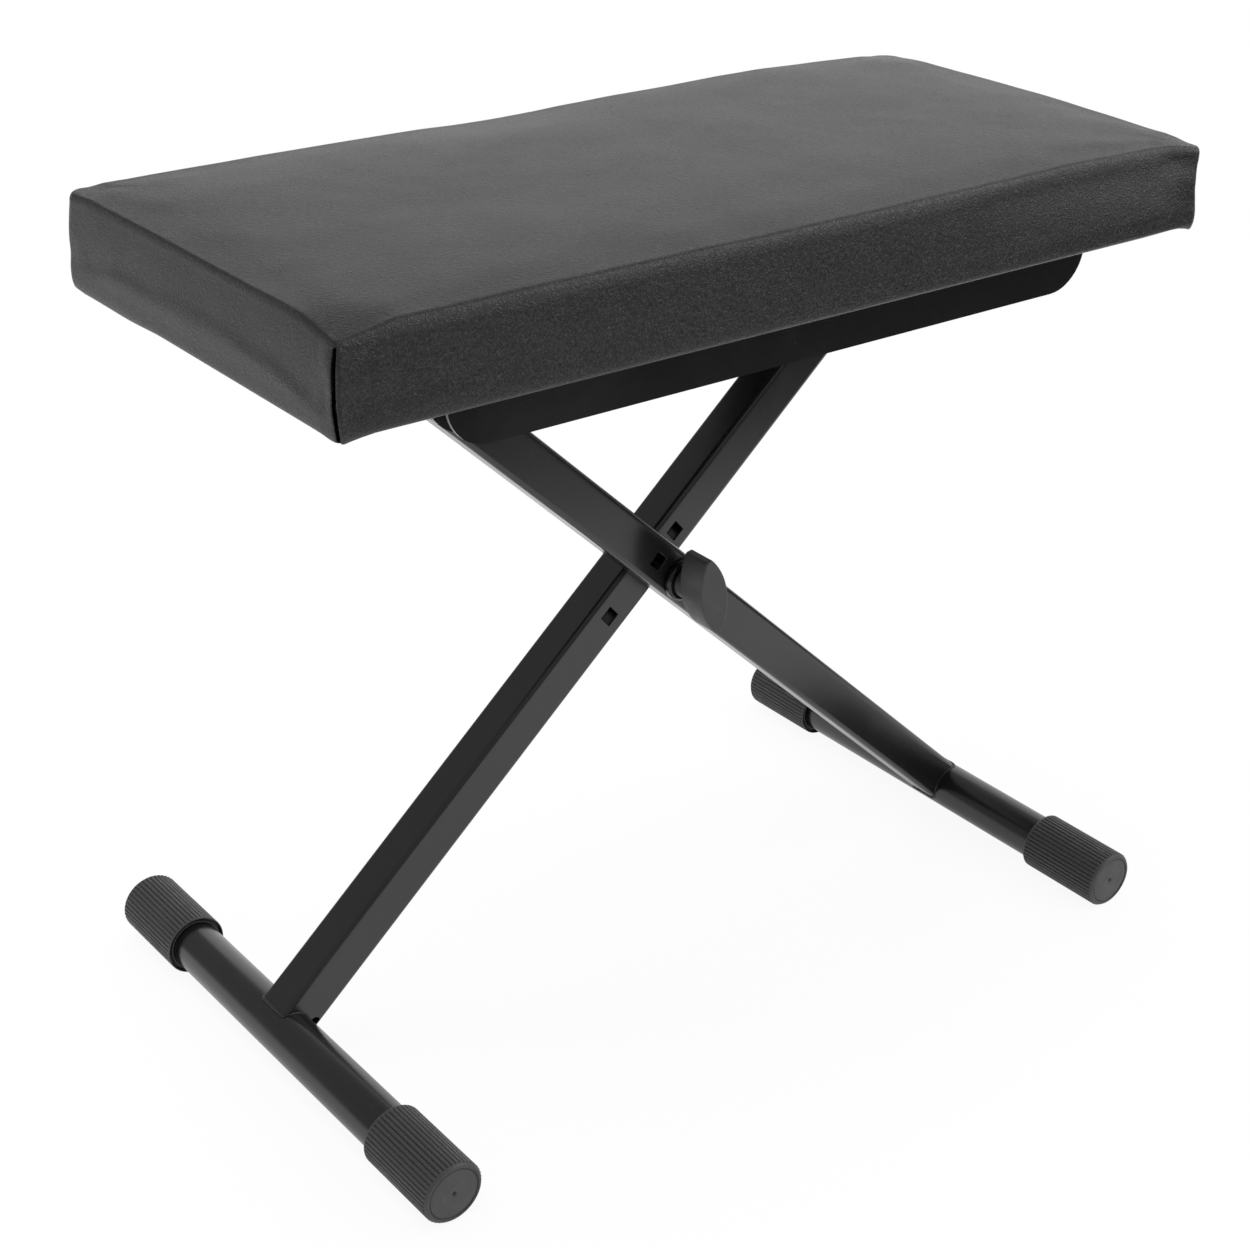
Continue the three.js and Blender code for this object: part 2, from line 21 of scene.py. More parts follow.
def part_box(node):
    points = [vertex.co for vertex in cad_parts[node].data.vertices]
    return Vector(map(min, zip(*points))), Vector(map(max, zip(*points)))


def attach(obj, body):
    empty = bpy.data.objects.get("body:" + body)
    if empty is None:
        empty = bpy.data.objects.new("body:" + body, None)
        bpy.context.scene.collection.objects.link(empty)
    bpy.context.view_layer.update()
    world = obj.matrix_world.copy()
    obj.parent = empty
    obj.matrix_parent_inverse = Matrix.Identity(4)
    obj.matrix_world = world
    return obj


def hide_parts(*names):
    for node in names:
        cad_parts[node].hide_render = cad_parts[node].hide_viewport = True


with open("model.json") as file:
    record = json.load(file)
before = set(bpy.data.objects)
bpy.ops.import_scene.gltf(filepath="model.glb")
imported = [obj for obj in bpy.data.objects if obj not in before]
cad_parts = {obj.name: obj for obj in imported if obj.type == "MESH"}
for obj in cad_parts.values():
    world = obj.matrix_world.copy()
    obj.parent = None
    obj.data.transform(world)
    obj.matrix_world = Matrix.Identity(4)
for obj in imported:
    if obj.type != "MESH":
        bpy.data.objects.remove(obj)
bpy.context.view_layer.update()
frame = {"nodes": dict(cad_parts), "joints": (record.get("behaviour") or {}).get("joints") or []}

LOG = logging.getLogger("bench")
MM = 0.001
QUARTER = math.pi / 2
Point = tuple[float, float]
Triple = tuple[float, float, float]


class Slot(Enum):
    """The record's material slots that the pieces take their finish from."""

    LEATHERETTE = "leatherette"
    PLYWOOD = "plywood"
    NON_WOVEN = "non_woven"
    POWDER_COAT = "powder_coat"
    BLACK_PLASTIC = "black_plastic"
    ZINC = "zinc"
    NYLON = "nylon"


class Body(Enum):
    """The bodies that the pieces ride on."""

    SEAT = "seat"
    LEG_A = "leg_a"
    LEG_B = "leg_b"
    BOLT = "bolt"
    COLLAR = "collar"
    KNOB = "knob"


class Cut(Enum):
    """How a second shape changes the first."""

    LESS = "DIFFERENCE"
    JOINED = "UNION"
    SHARED = "INTERSECT"


# Small functions


def smooth_step(value: float) -> float:
    """Zero up to zero, one from one, and an even swing between them."""
    value = min(max(value, 0.0), 1.0)
    return value * value * (3 - 2 * value)


def softened(points: Sequence[Point], radius: float, steps: int = 4) -> list[Point]:
    """Rounds the corners inside an open line.

    Args:
        points: the line's points.
        radius: how far from a corner its rounding starts, at most.
        steps: points of each rounding, less one.

    Returns:
        The line with each inner point replaced by a short curve.
    """
    made = [tuple(points[0])]
    for before, here, after in zip(points, points[1:], points[2:]):
        start, middle, end = Vector(before), Vector(here), Vector(after)
        reach_in = min(radius, (start - middle).length * 0.45)
        reach_out = min(radius, (end - middle).length * 0.45)
        first = middle + (start - middle).normalized() * reach_in
        last = middle + (end - middle).normalized() * reach_out
        for step in range(steps + 1):
            share = step / steps
            point = first * (1 - share) ** 2 + middle * 2 * share * (1 - share) + last * share ** 2
            made.append((point.x, point.y))
    made.append(tuple(points[-1]))
    return made


def spread_along(points: Sequence[Point], count: int) -> list[Point]:
    """Points at equal distances along a line.

    Args:
        points: the line's own points.
        count: how many points to return, the two ends among them.

    Returns:
        The evenly spaced points.
    """
    lengths = [0.0]
    for first, second in zip(points, points[1:]):
        lengths.append(lengths[-1] + math.dist(first, second))
    made, segment = [], 0
    for index in range(count):
        target = lengths[-1] * index / (count - 1)
        while segment < len(points) - 2 and lengths[segment + 1] < target:
            segment += 1
        span = lengths[segment + 1] - lengths[segment]
        share = (target - lengths[segment]) / span if span else 0.0
        first, second = points[segment], points[segment + 1]
        made.append((first[0] + (second[0] - first[0]) * share, first[1] + (second[1] - first[1]) * share))
    return made


def centre_of(node: str) -> Vector:
    """The middle of a solid's box, in millimetres."""
    low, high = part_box(node)
    return (low + high) / 2 / MM


def baked(source: bpy.types.Object) -> bpy.types.Mesh:
    """The object's mesh with its modifiers applied, as a new mesh."""
    graph = bpy.context.evaluated_depsgraph_get()
    return bpy.data.meshes.new_from_object(source.evaluated_get(graph))


def used_up(source: bpy.types.Object) -> bpy.types.Mesh:
    """The object's mesh with its modifiers applied, and the object itself removed.

    Args:
        source: the object, which is gone afterwards.

    Returns:
        The new mesh.
    """
    mesh = baked(source)
    bpy.data.objects.remove(source)
    return mesh


def linked(name: str, data: bpy.types.ID) -> bpy.types.Object:
    """A new object in the scene that shows the data.

    Args:
        name: the object's name.
        data: its mesh, curve, lamp or camera.

    Returns:
        The object.
    """
    made = bpy.data.objects.new(name, data)
    bpy.context.scene.collection.objects.link(made)
    return made


def bells(place: float, parts: Iterable[Triple]) -> float:
    """The sum of bell curves at a place, each given as (middle, width, height)."""
    return sum(height * math.exp(-((place - middle) / width) ** 2) for middle, width, height in parts)


# Finishes


class NodeGraph:
    """A material's node tree, with short calls for the nodes that the finishes use."""

    def __init__(self, name: str) -> None:
        """Makes a material with one shader that is wired to its output.

        Args:
            name: the material's name.
        """
        self.material = bpy.data.materials.new(name)
        self.material.use_nodes = True
        self.tree = self.material.node_tree
        self.tree.nodes.clear()
        output = self.tree.nodes.new("ShaderNodeOutputMaterial")
        self.shader = self.tree.nodes.new("ShaderNodeBsdfPrincipled")
        self.tree.links.new(self.shader.outputs["BSDF"], output.inputs["Surface"])
        self.place = self.tree.nodes.new("ShaderNodeTexCoord").outputs["Object"]

    def feed(self, socket: bpy.types.NodeSocket, value: object) -> None:
        """Links a socket to another one, or sets its value.

        Args:
            socket: the input.
            value: another node's output, or a value.
        """
        if isinstance(value, bpy.types.NodeSocket):
            self.tree.links.new(value, socket)
        else:
            socket.default_value = value

    def node(self, kind: str, inputs: dict[object, object], **settings: object) -> bpy.types.Node:
        """Adds a node.

        Args:
            kind: the node's type.
            inputs: values or sockets for its inputs, by name or number.
            settings: the node's own properties.

        Returns:
            The node.
        """
        made = self.tree.nodes.new(kind)
        for name, value in settings.items():
            setattr(made, name, value)
        for name, value in inputs.items():
            self.feed(made.inputs[name], value)
        return made

    def stretched(self, scale: Sequence[float], turn: Sequence[float] = (0, 0, 0)) -> bpy.types.NodeSocket:
        """Object coordinates, scaled and turned."""
        return self.node("ShaderNodeMapping", {"Vector": self.place, "Scale": scale, "Rotation": turn}).outputs[0]

    def noise(
        self, scale: float, detail: float = 3, roughness: float = 0.5, distortion: float = 0,
        place: bpy.types.NodeSocket | None = None,
    ) -> bpy.types.NodeSocket:
        """A noise pattern from 0 to 1, with scale waves to the metre.

        Args:
            scale: waves to the metre.
            detail: how many finer layers it has.
            roughness: how strong those are.
            distortion: how far it is warped.
            place: the coordinates, or the object's own.

        Returns:
            The pattern's socket.
        """
        values = {"Vector": place or self.place, "Scale": scale, "Detail": detail,
                  "Roughness": roughness, "Distortion": distortion}
        return self.node("ShaderNodeTexNoise", values).outputs[0]

    def cells(
        self, scale: float, feature: str = "F1", randomness: float = 1, place: bpy.types.NodeSocket | None = None,
    ) -> bpy.types.NodeSocket:
        """A cell pattern's distance, with scale cells to the metre."""
        values = {"Vector": place or self.place, "Scale": scale, "Randomness": randomness}
        return self.node("ShaderNodeTexVoronoi", values, feature=feature).outputs["Distance"]

    def remap(
        self, value: bpy.types.NodeSocket, low: float, high: float, to_low: float = 0, to_high: float = 1,
    ) -> bpy.types.NodeSocket:
        """Takes the range low to high to another range, smoothly and within it."""
        values = {0: value, 1: low, 2: high, 3: to_low, 4: to_high}
        return self.node("ShaderNodeMapRange", values, interpolation_type="SMOOTHSTEP").outputs[0]

    def sum(self, first: object, second: object, operation: str = "ADD") -> bpy.types.NodeSocket:
        """Two numbers put together by a math operation."""
        return self.node("ShaderNodeMath", {0: first, 1: second}, operation=operation).outputs[0]

    def blend(self, share: object, first: Sequence[float], second: Sequence[float]) -> bpy.types.NodeSocket:
        """A colour between two, the second one where share is one.

        Args:
            share: how much of the second colour.
            first: a colour.
            second: another.

        Returns:
            The colour's socket.
        """
        mix = self.node("ShaderNodeMix", {"Factor": share}, data_type="RGBA")
        self.feed(mix.inputs[6], (*first, 1))
        self.feed(mix.inputs[7], (*second, 1))
        return mix.outputs[2]

    def bump(
        self, height: bpy.types.NodeSocket, depth: float, strength: float = 1,
        below: bpy.types.NodeSocket | None = None,
    ) -> bpy.types.NodeSocket:
        """A normal for a height pattern that is depth millimetres deep.

        Args:
            height: the pattern.
            depth: its depth.
            strength: how much of it shows.
            below: the normal that it lies on, if any.

        Returns:
            The normal's socket.
        """
        values = {"Height": height, "Distance": depth * MM, "Strength": strength}
        if below is not None:
            values["Normal"] = below
        return self.node("ShaderNodeBump", values).outputs[0]

    def shade(self, **values: object) -> bpy.types.Material:
        """Sets the shader's sockets by their names, with _ for a space, and returns the material.

        Args:
            values: a value or a socket for each.

        Returns:
            The material.
        """
        for name, value in values.items():
            self.feed(self.shader.inputs[name.replace("_", " ")], value)
        return self.material


@dataclass(frozen=True)
class Leatherette:
    """Black coated cloth with a fine pebble grain that thin, winding creases run through."""

    # dark is the colour in the creases and between the pebbles, which is painted shade; light is the colour elsewhere
    dark: Triple = (0.008, 0.008, 0.008)
    light: Triple = (0.022, 0.022, 0.0225)
    winding: float = 460
    pebble: float = 900
    depth: float = 0.17
    rough: Point = (0.50, 0.40)
    shine: float = 0.64

    def material(self) -> bpy.types.Material:
        """Makes the material.

        Returns:
            The material.
        """
        graph = NodeGraph("leatherette")
        off_line = graph.sum(graph.sum(graph.noise(self.winding, 2.5, 0.55, 0.6), 0.5, "SUBTRACT"), 0, "ABSOLUTE")
        crease = graph.remap(off_line, 0.0, 0.17)
        pebble = graph.remap(graph.cells(self.pebble, "DISTANCE_TO_EDGE"), 0.0, 0.2)
        patch = graph.remap(graph.noise(70, 3), 0.35, 0.65, 0.75, 1)
        height = graph.sum(graph.sum(crease, patch, "MULTIPLY"), graph.sum(pebble, 0.22, "MULTIPLY"))
        soft = graph.bump(graph.noise(60, 3, 0.5), 0.2, 0.1)
        normal = graph.bump(height, self.depth, 1.0, soft)
        handled = graph.remap(graph.noise(18, 4), 0.3, 0.7, -0.01, 0.01)
        return graph.shade(
            # The base colour turns dark in the creases and between the pebbles: painted shade in the grain's hollows
            Base_Color=graph.blend(graph.sum(crease, pebble, "MULTIPLY"), self.dark, self.light),
            Roughness=graph.sum(graph.remap(pebble, 0, 1, *self.rough), handled),
            Normal=normal, Specular_IOR_Level=self.shine,
        )


@dataclass(frozen=True)
class PowderCoat:
    """Black baked coating on steel, glossy, with a faint orange peel and a few fine specks."""

    base: Triple = (0.0075, 0.0075, 0.0085)
    dust: Triple = (0.035, 0.035, 0.036)
    peel: float = 180
    peel_depth: float = 0.0022
    rough: Point = (0.22, 0.28)
    shine: float = 0.68

    def material(self) -> bpy.types.Material:
        """Makes the material.

        Returns:
            The material.
        """
        graph = NodeGraph("powder_coat")
        peel = graph.bump(graph.noise(self.peel, 2, 0.4), self.peel_depth, 0.8)
        speck = graph.remap(graph.cells(260), 0.05, 0.11, 1, 0)
        sparse = graph.remap(graph.noise(31, 2), 0.58, 0.66)
        marks = graph.sum(speck, sparse, "MULTIPLY")
        normal = graph.bump(marks, 0.012, 0.4, peel)
        rubbed = graph.remap(graph.noise(9, 5, 0.65, 0.4), 0.35, 0.75)
        rough = graph.sum(graph.remap(rubbed, 0, 1, *self.rough), graph.sum(marks, 0.15, "MULTIPLY"))
        return graph.shade(
            Base_Color=graph.blend(graph.sum(graph.sum(rubbed, 0.10, "MULTIPLY"), marks), self.base, self.dust),
            Roughness=rough, Normal=normal, Specular_IOR_Level=self.shine,
        )


@dataclass(frozen=True)
class MouldedPlastic:
    """Black moulded plastic with a fine eroded texture and light scuffs."""

    base: Triple = (0.050, 0.050, 0.051)
    scuff: Triple = (0.080, 0.080, 0.081)
    texture: float = 0.55
    rough: Point = (0.44, 0.56)

    def material(self) -> bpy.types.Material:
        """Makes the material.

        Returns:
            The material.
        """
        graph = NodeGraph("moulded_plastic")
        texture = graph.noise(2600, 3, 0.6)
        flow = graph.noise(60, 3, 0.5, 0.8)
        normal = graph.bump(texture, 0.03, self.texture, graph.bump(flow, 0.2, 0.12))
        scuffs = graph.remap(graph.noise(90, 6, 0.7, 1.0, graph.stretched((1, 0.35, 1))), 0.55, 0.75)
        return graph.shade(
            Base_Color=graph.blend(scuffs, self.base, self.scuff),
            Roughness=graph.remap(flow, 0.3, 0.7, *self.rough), Normal=normal, Specular_IOR_Level=0.5,
        )


@dataclass(frozen=True)
class ZincPlate:
    """Bright zinc on steel, with fine turning marks and a faint clouding."""

    clear: Triple = (0.60, 0.61, 0.63)
    clouded: Triple = (0.43, 0.43, 0.42)

    def material(self) -> bpy.types.Material:
        """Makes the material.

        Returns:
            The material.
        """
        graph = NodeGraph("zinc_plate")
        cloud = graph.remap(graph.noise(240, 5, 0.6, 0.5), 0.35, 0.7)
        marks = graph.noise(3200, 2, 0.5, 0, graph.stretched((1, 0.15, 1)))
        return graph.shade(
            Base_Color=graph.blend(cloud, self.clear, self.clouded), Metallic=1.0,
            Roughness=graph.remap(cloud, 0, 1, 0.26, 0.42), Normal=graph.bump(marks, 0.01, 0.6),
        )


@dataclass(frozen=True)
class Nylon:
    """Undyed nylon, slightly see-through at its edges."""

    pale: Triple = (0.74, 0.72, 0.66)
    worn: Triple = (0.60, 0.57, 0.50)

    def material(self) -> bpy.types.Material:
        """Makes the material.

        Returns:
            The material.
        """
        graph = NodeGraph("nylon")
        haze = graph.remap(graph.noise(180, 4), 0.35, 0.7)
        return graph.shade(
            Base_Color=graph.blend(haze, self.pale, self.worn), Roughness=graph.remap(haze, 0, 1, 0.38, 0.52),
            Normal=graph.bump(graph.noise(1500, 2), 0.01, 0.5), Subsurface_Weight=0.12,
            Subsurface_Scale=0.002,
        )


@dataclass(frozen=True)
class BondedCloth:
    """Black non-woven cloth, its loose fibres pressed together in rows of small points."""

    thread: Triple = (0.018, 0.018, 0.019)
    bond: Triple = (0.006, 0.006, 0.007)
    pitch: float = 1.6

    def material(self) -> bpy.types.Material:
        """Makes the material.

        Returns:
            The material.
        """
        graph = NodeGraph("bonded_cloth")
        points = graph.remap(graph.cells(1 / (self.pitch * MM), "F1", 0.05), 0.22, 0.38)
        fibres = graph.noise(900, 6, 0.75, 1.5)
        height = graph.sum(points, graph.sum(fibres, 0.5, "MULTIPLY"))
        return graph.shade(
            Base_Color=graph.blend(graph.sum(points, fibres, "MULTIPLY"), self.bond, self.thread),
            Roughness=graph.remap(points, 0, 1, 0.6, 0.92), Normal=graph.bump(height, 0.12, 0.8),
            Sheen_Weight=0.25, Sheen_Roughness=0.6,
        )


@dataclass(frozen=True)
class Plywood:
    """Birch plywood: long grain on its faces, and light and dark plies at its edges."""

    light: Triple = (0.56, 0.42, 0.26)
    dark: Triple = (0.33, 0.22, 0.12)
    ply: float = 1.5

    def material(self) -> bpy.types.Material:
        """Makes the material.

        Returns:
            The material.
        """
        graph = NodeGraph("plywood")
        grain = graph.noise(30, 6, 0.6, 0.5, graph.stretched((0.6, 9, 1)))
        plies = graph.node(
            "ShaderNodeTexWave", {"Vector": graph.place, "Scale": 0.5 / (self.ply * MM) / 3.14, "Distortion": 0.4},
            bands_direction="Z",
        ).outputs["Fac"]
        tone = graph.sum(graph.remap(grain, 0.35, 0.7), graph.sum(plies, 0.3, "MULTIPLY"))
        return graph.shade(
            Base_Color=graph.blend(tone, self.light, self.dark), Roughness=graph.remap(grain, 0.3, 0.7, 0.6, 0.8),
            Normal=graph.bump(grain, 0.08, 0.6),
        )


class Finishes:
    """The finishes of the bench, each made once."""

    def __init__(self) -> None:
        """Makes every material."""
        makers = {
            Slot.LEATHERETTE: Leatherette(), Slot.POWDER_COAT: PowderCoat(), Slot.BLACK_PLASTIC: MouldedPlastic(),
            Slot.ZINC: ZincPlate(), Slot.NYLON: Nylon(), Slot.NON_WOVEN: BondedCloth(), Slot.PLYWOOD: Plywood(),
        }
        self.made = {slot: maker.material() for slot, maker in makers.items()}
        # The collar's black plastic: glossier, which is its own, and much darker, which is painted shade where it
        # sits between the leg and the knob
        collar = MouldedPlastic((0.006, 0.006, 0.007), (0.012, 0.012, 0.012), 0.1, (0.16, 0.24))
        self.shade_darkened_glossy_plastic = collar.material()

    def dress(self, piece: bpy.types.Object, slot: Slot) -> None:
        """Gives a piece one finish all over."""
        piece.data.materials.clear()
        piece.data.materials.append(self.made[slot])


# Shapes


class Blank:
    """A closed shape in millimetres, made with bmesh operators, until it becomes a piece."""

    def __init__(self, mesh: bpy.types.Mesh | None = None) -> None:
        """Starts empty, or from a mesh.

        Args:
            mesh: the mesh, if any.
        """
        self.bm = bmesh.new()
        if mesh is not None:
            self.bm.from_mesh(mesh)

    @classmethod
    def turned(cls, profile: Sequence[Point], steps: int, ring: bool = False) -> "Blank":
        """A profile turned about the Y axis.

        Args:
            profile: (radius, place) pairs.
            steps: faces round the axis.
            ring: whether the last point joins the first, as in a ring, where the line doesn't meet the axis.

        Returns:
            The closed shape.
        """
        blank = cls()
        verts = [blank.bm.verts.new((radius, place, 0)) for radius, place in profile]
        edges = [blank.bm.edges.new(pair) for pair in zip(verts, verts[1:])]
        if ring:
            edges.append(blank.bm.edges.new((verts[-1], verts[0])))
        bmesh.ops.spin(
            blank.bm, geom=verts + edges, cent=(0, 0, 0), axis=(0, 1, 0), dvec=(0, 0, 0),
            angle=4 * QUARTER, steps=steps, use_merge=True,
        )
        return blank.mended()

    @classmethod
    def block(cls, size: Sequence[float], centre: Sequence[float], rounding: float = 0, segments: int = 2) -> "Blank":
        """A box with its edges rounded.

        Args:
            size: its three sizes.
            centre: its middle.
            rounding: how far from each edge the rounding starts.
            segments: faces across the rounding.

        Returns:
            The closed shape.
        """
        blank = cls()
        bmesh.ops.create_cube(blank.bm, size=1, matrix=Matrix.LocRotScale(Vector(centre), None, Vector(size)))
        if rounding:
            blank.round_edges(blank.bm.edges[:], rounding, segments)
        return blank

    @classmethod
    def rod(cls, radius: float, start: float, end: float, steps: int) -> "Blank":
        """A plain cylinder along the Y axis."""
        return cls.turned([(0, start), (radius, start), (radius, end), (0, end)], steps)

    def mended(self) -> "Blank":
        """Merges doubled points and turns the faces outwards.

        Returns:
            The blank itself.
        """
        bmesh.ops.remove_doubles(self.bm, verts=self.bm.verts, dist=0.0005)
        bmesh.ops.recalc_face_normals(self.bm, faces=self.bm.faces)
        return self

    def round_edges(self, edges: Iterable[bmesh.types.BMEdge], width: float, segments: int) -> None:
        """Bevels edges to an even rounding.

        Args:
            edges: the edges.
            width: how far from each edge the rounding starts.
            segments: faces across it.
        """
        bmesh.ops.bevel(
            self.bm, geom=list(edges), offset=width, offset_type="OFFSET", affect="EDGES", segments=segments,
            profile=0.5, material=-1, clamp_overlap=True,
        )

    def move(self, matrix: Matrix) -> "Blank":
        """Moves the whole shape."""
        bmesh.ops.transform(self.bm, matrix=matrix, verts=self.bm.verts)
        return self

    def slice(self, point: Sequence[float], normal: Sequence[float]) -> None:
        """Adds edges where a plane meets the shape.

        Args:
            point: a point of the plane.
            normal: the plane's direction.
        """
        bmesh.ops.bisect_plane(
            self.bm, geom=self.bm.verts[:] + self.bm.edges[:] + self.bm.faces[:], dist=1e-5,
            plane_co=point, plane_no=normal,
        )

    def as_object(self, name: str, scale: float = 1.0) -> bpy.types.Object:
        """Ends the bmesh and links its mesh as an object.

        Args:
            name: the object's name.
            scale: what the shape is scaled by.

        Returns:
            The object.
        """
        mesh = bpy.data.meshes.new(name)
        self.move(Matrix.Scale(scale, 4))
        self.bm.to_mesh(mesh)
        self.bm.free()
        return linked(name, mesh)

    def hollowed(self, wall: float, outward: float) -> "Blank":
        """Gives an open skin a wall of even thickness on its inside.

        Args:
            wall: the wall's thickness.
            outward: a measure that is below zero where the skin's faces look inwards, so that they are turned.

        Returns:
            The closed shape, as a new blank.
        """
        if outward < 0:
            bmesh.ops.reverse_faces(self.bm, faces=self.bm.faces)
        shell = self.as_object("shell")
        modifier = shell.modifiers.new("wall", "SOLIDIFY")
        modifier.thickness = wall
        modifier.offset = -1
        modifier.use_even_offset = True
        return Blank(used_up(shell))

    def combined(self, cut: Cut, *others: "Blank") -> "Blank":
        """This shape less the others, joined to them, or shared with them, as a new blank.

        Args:
            cut: how the others change this shape.
            others: the other shapes, which are used up.

        Returns:
            The new shape.
        """
        objects = [blank.as_object("cutting") for blank in (self, *others)]
        for other in objects[1:]:
            modifier = objects[0].modifiers.new("cut", "BOOLEAN")
            modifier.operation = cut.value
            modifier.solver = "EXACT"
            modifier.object = other
        result = Blank(baked(objects[0]))
        for spent in objects:
            bpy.data.objects.remove(spent)
        return result


@dataclass
class Workshop:
    """Turns blanks into finished pieces that ride on their bodies."""

    finishes: Finishes

    def piece(
        self, blank: Blank, name: str, body: Body, slot: Slot, replaces: Sequence[str] = (),
        place: Matrix | None = None, crease: float = 38, edge: float = 0, edge_steps: int = 2,
    ) -> bpy.types.Object:
        """Finishes one piece.

        Args:
            blank: its shape in millimetres.
            name: the piece's name.
            body: what it rides on.
            slot: its finish.
            replaces: the solids that it stands for.
            place: where the shape goes, in millimetres.
            crease: the angle in degrees past which an edge shows as sharp.
            edge: how far sharp edges are rounded.
            edge_steps: faces across that rounding.

        Returns:
            The object, at the origin with its place in its mesh.
        """
        if place is not None:
            blank.move(place)
        made = blank.as_object(name, MM)
        made.data.polygons.foreach_set("use_smooth", [True] * len(made.data.polygons))
        made.data.set_sharp_from_angle(angle=math.radians(crease))
        if edge:
            bevel = made.modifiers.new("edges", "BEVEL")
            bevel.width = edge * MM
            bevel.segments = edge_steps
            bevel.limit_method = "ANGLE"
            bevel.angle_limit = math.radians(crease)
            flat = made.modifiers.new("flat_faces", "WEIGHTED_NORMAL")
            flat.keep_sharp = True
        self.finishes.dress(made, slot)
        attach(made, body.value)
        if replaces:
            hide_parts(*replaces)
        LOG.info("%s: %d faces on %s", name, len(made.data.polygons), body.value)
        return made


# Seat


@dataclass(frozen=True)
class Row:
    """One level line round the cushion: how far in it lies, its height, and how deep its corners are folded.

    Near the corners it lies as far in and as high as crisp says.
    """

    inset: float
    height: float
    fold: float = 0.0
    crisp: Point | None = None


@dataclass(frozen=True)
class CornerForm:
    """One corner of the cushion: its rounding seen from above, and how deep and from how far its top droops.

    It slumps a little more from farther away. A flush corner has its pleat's slit right at the corner.
    """

    rounding: float
    droop: float
    reach: float
    slump: float = 0.0
    flush: bool = False


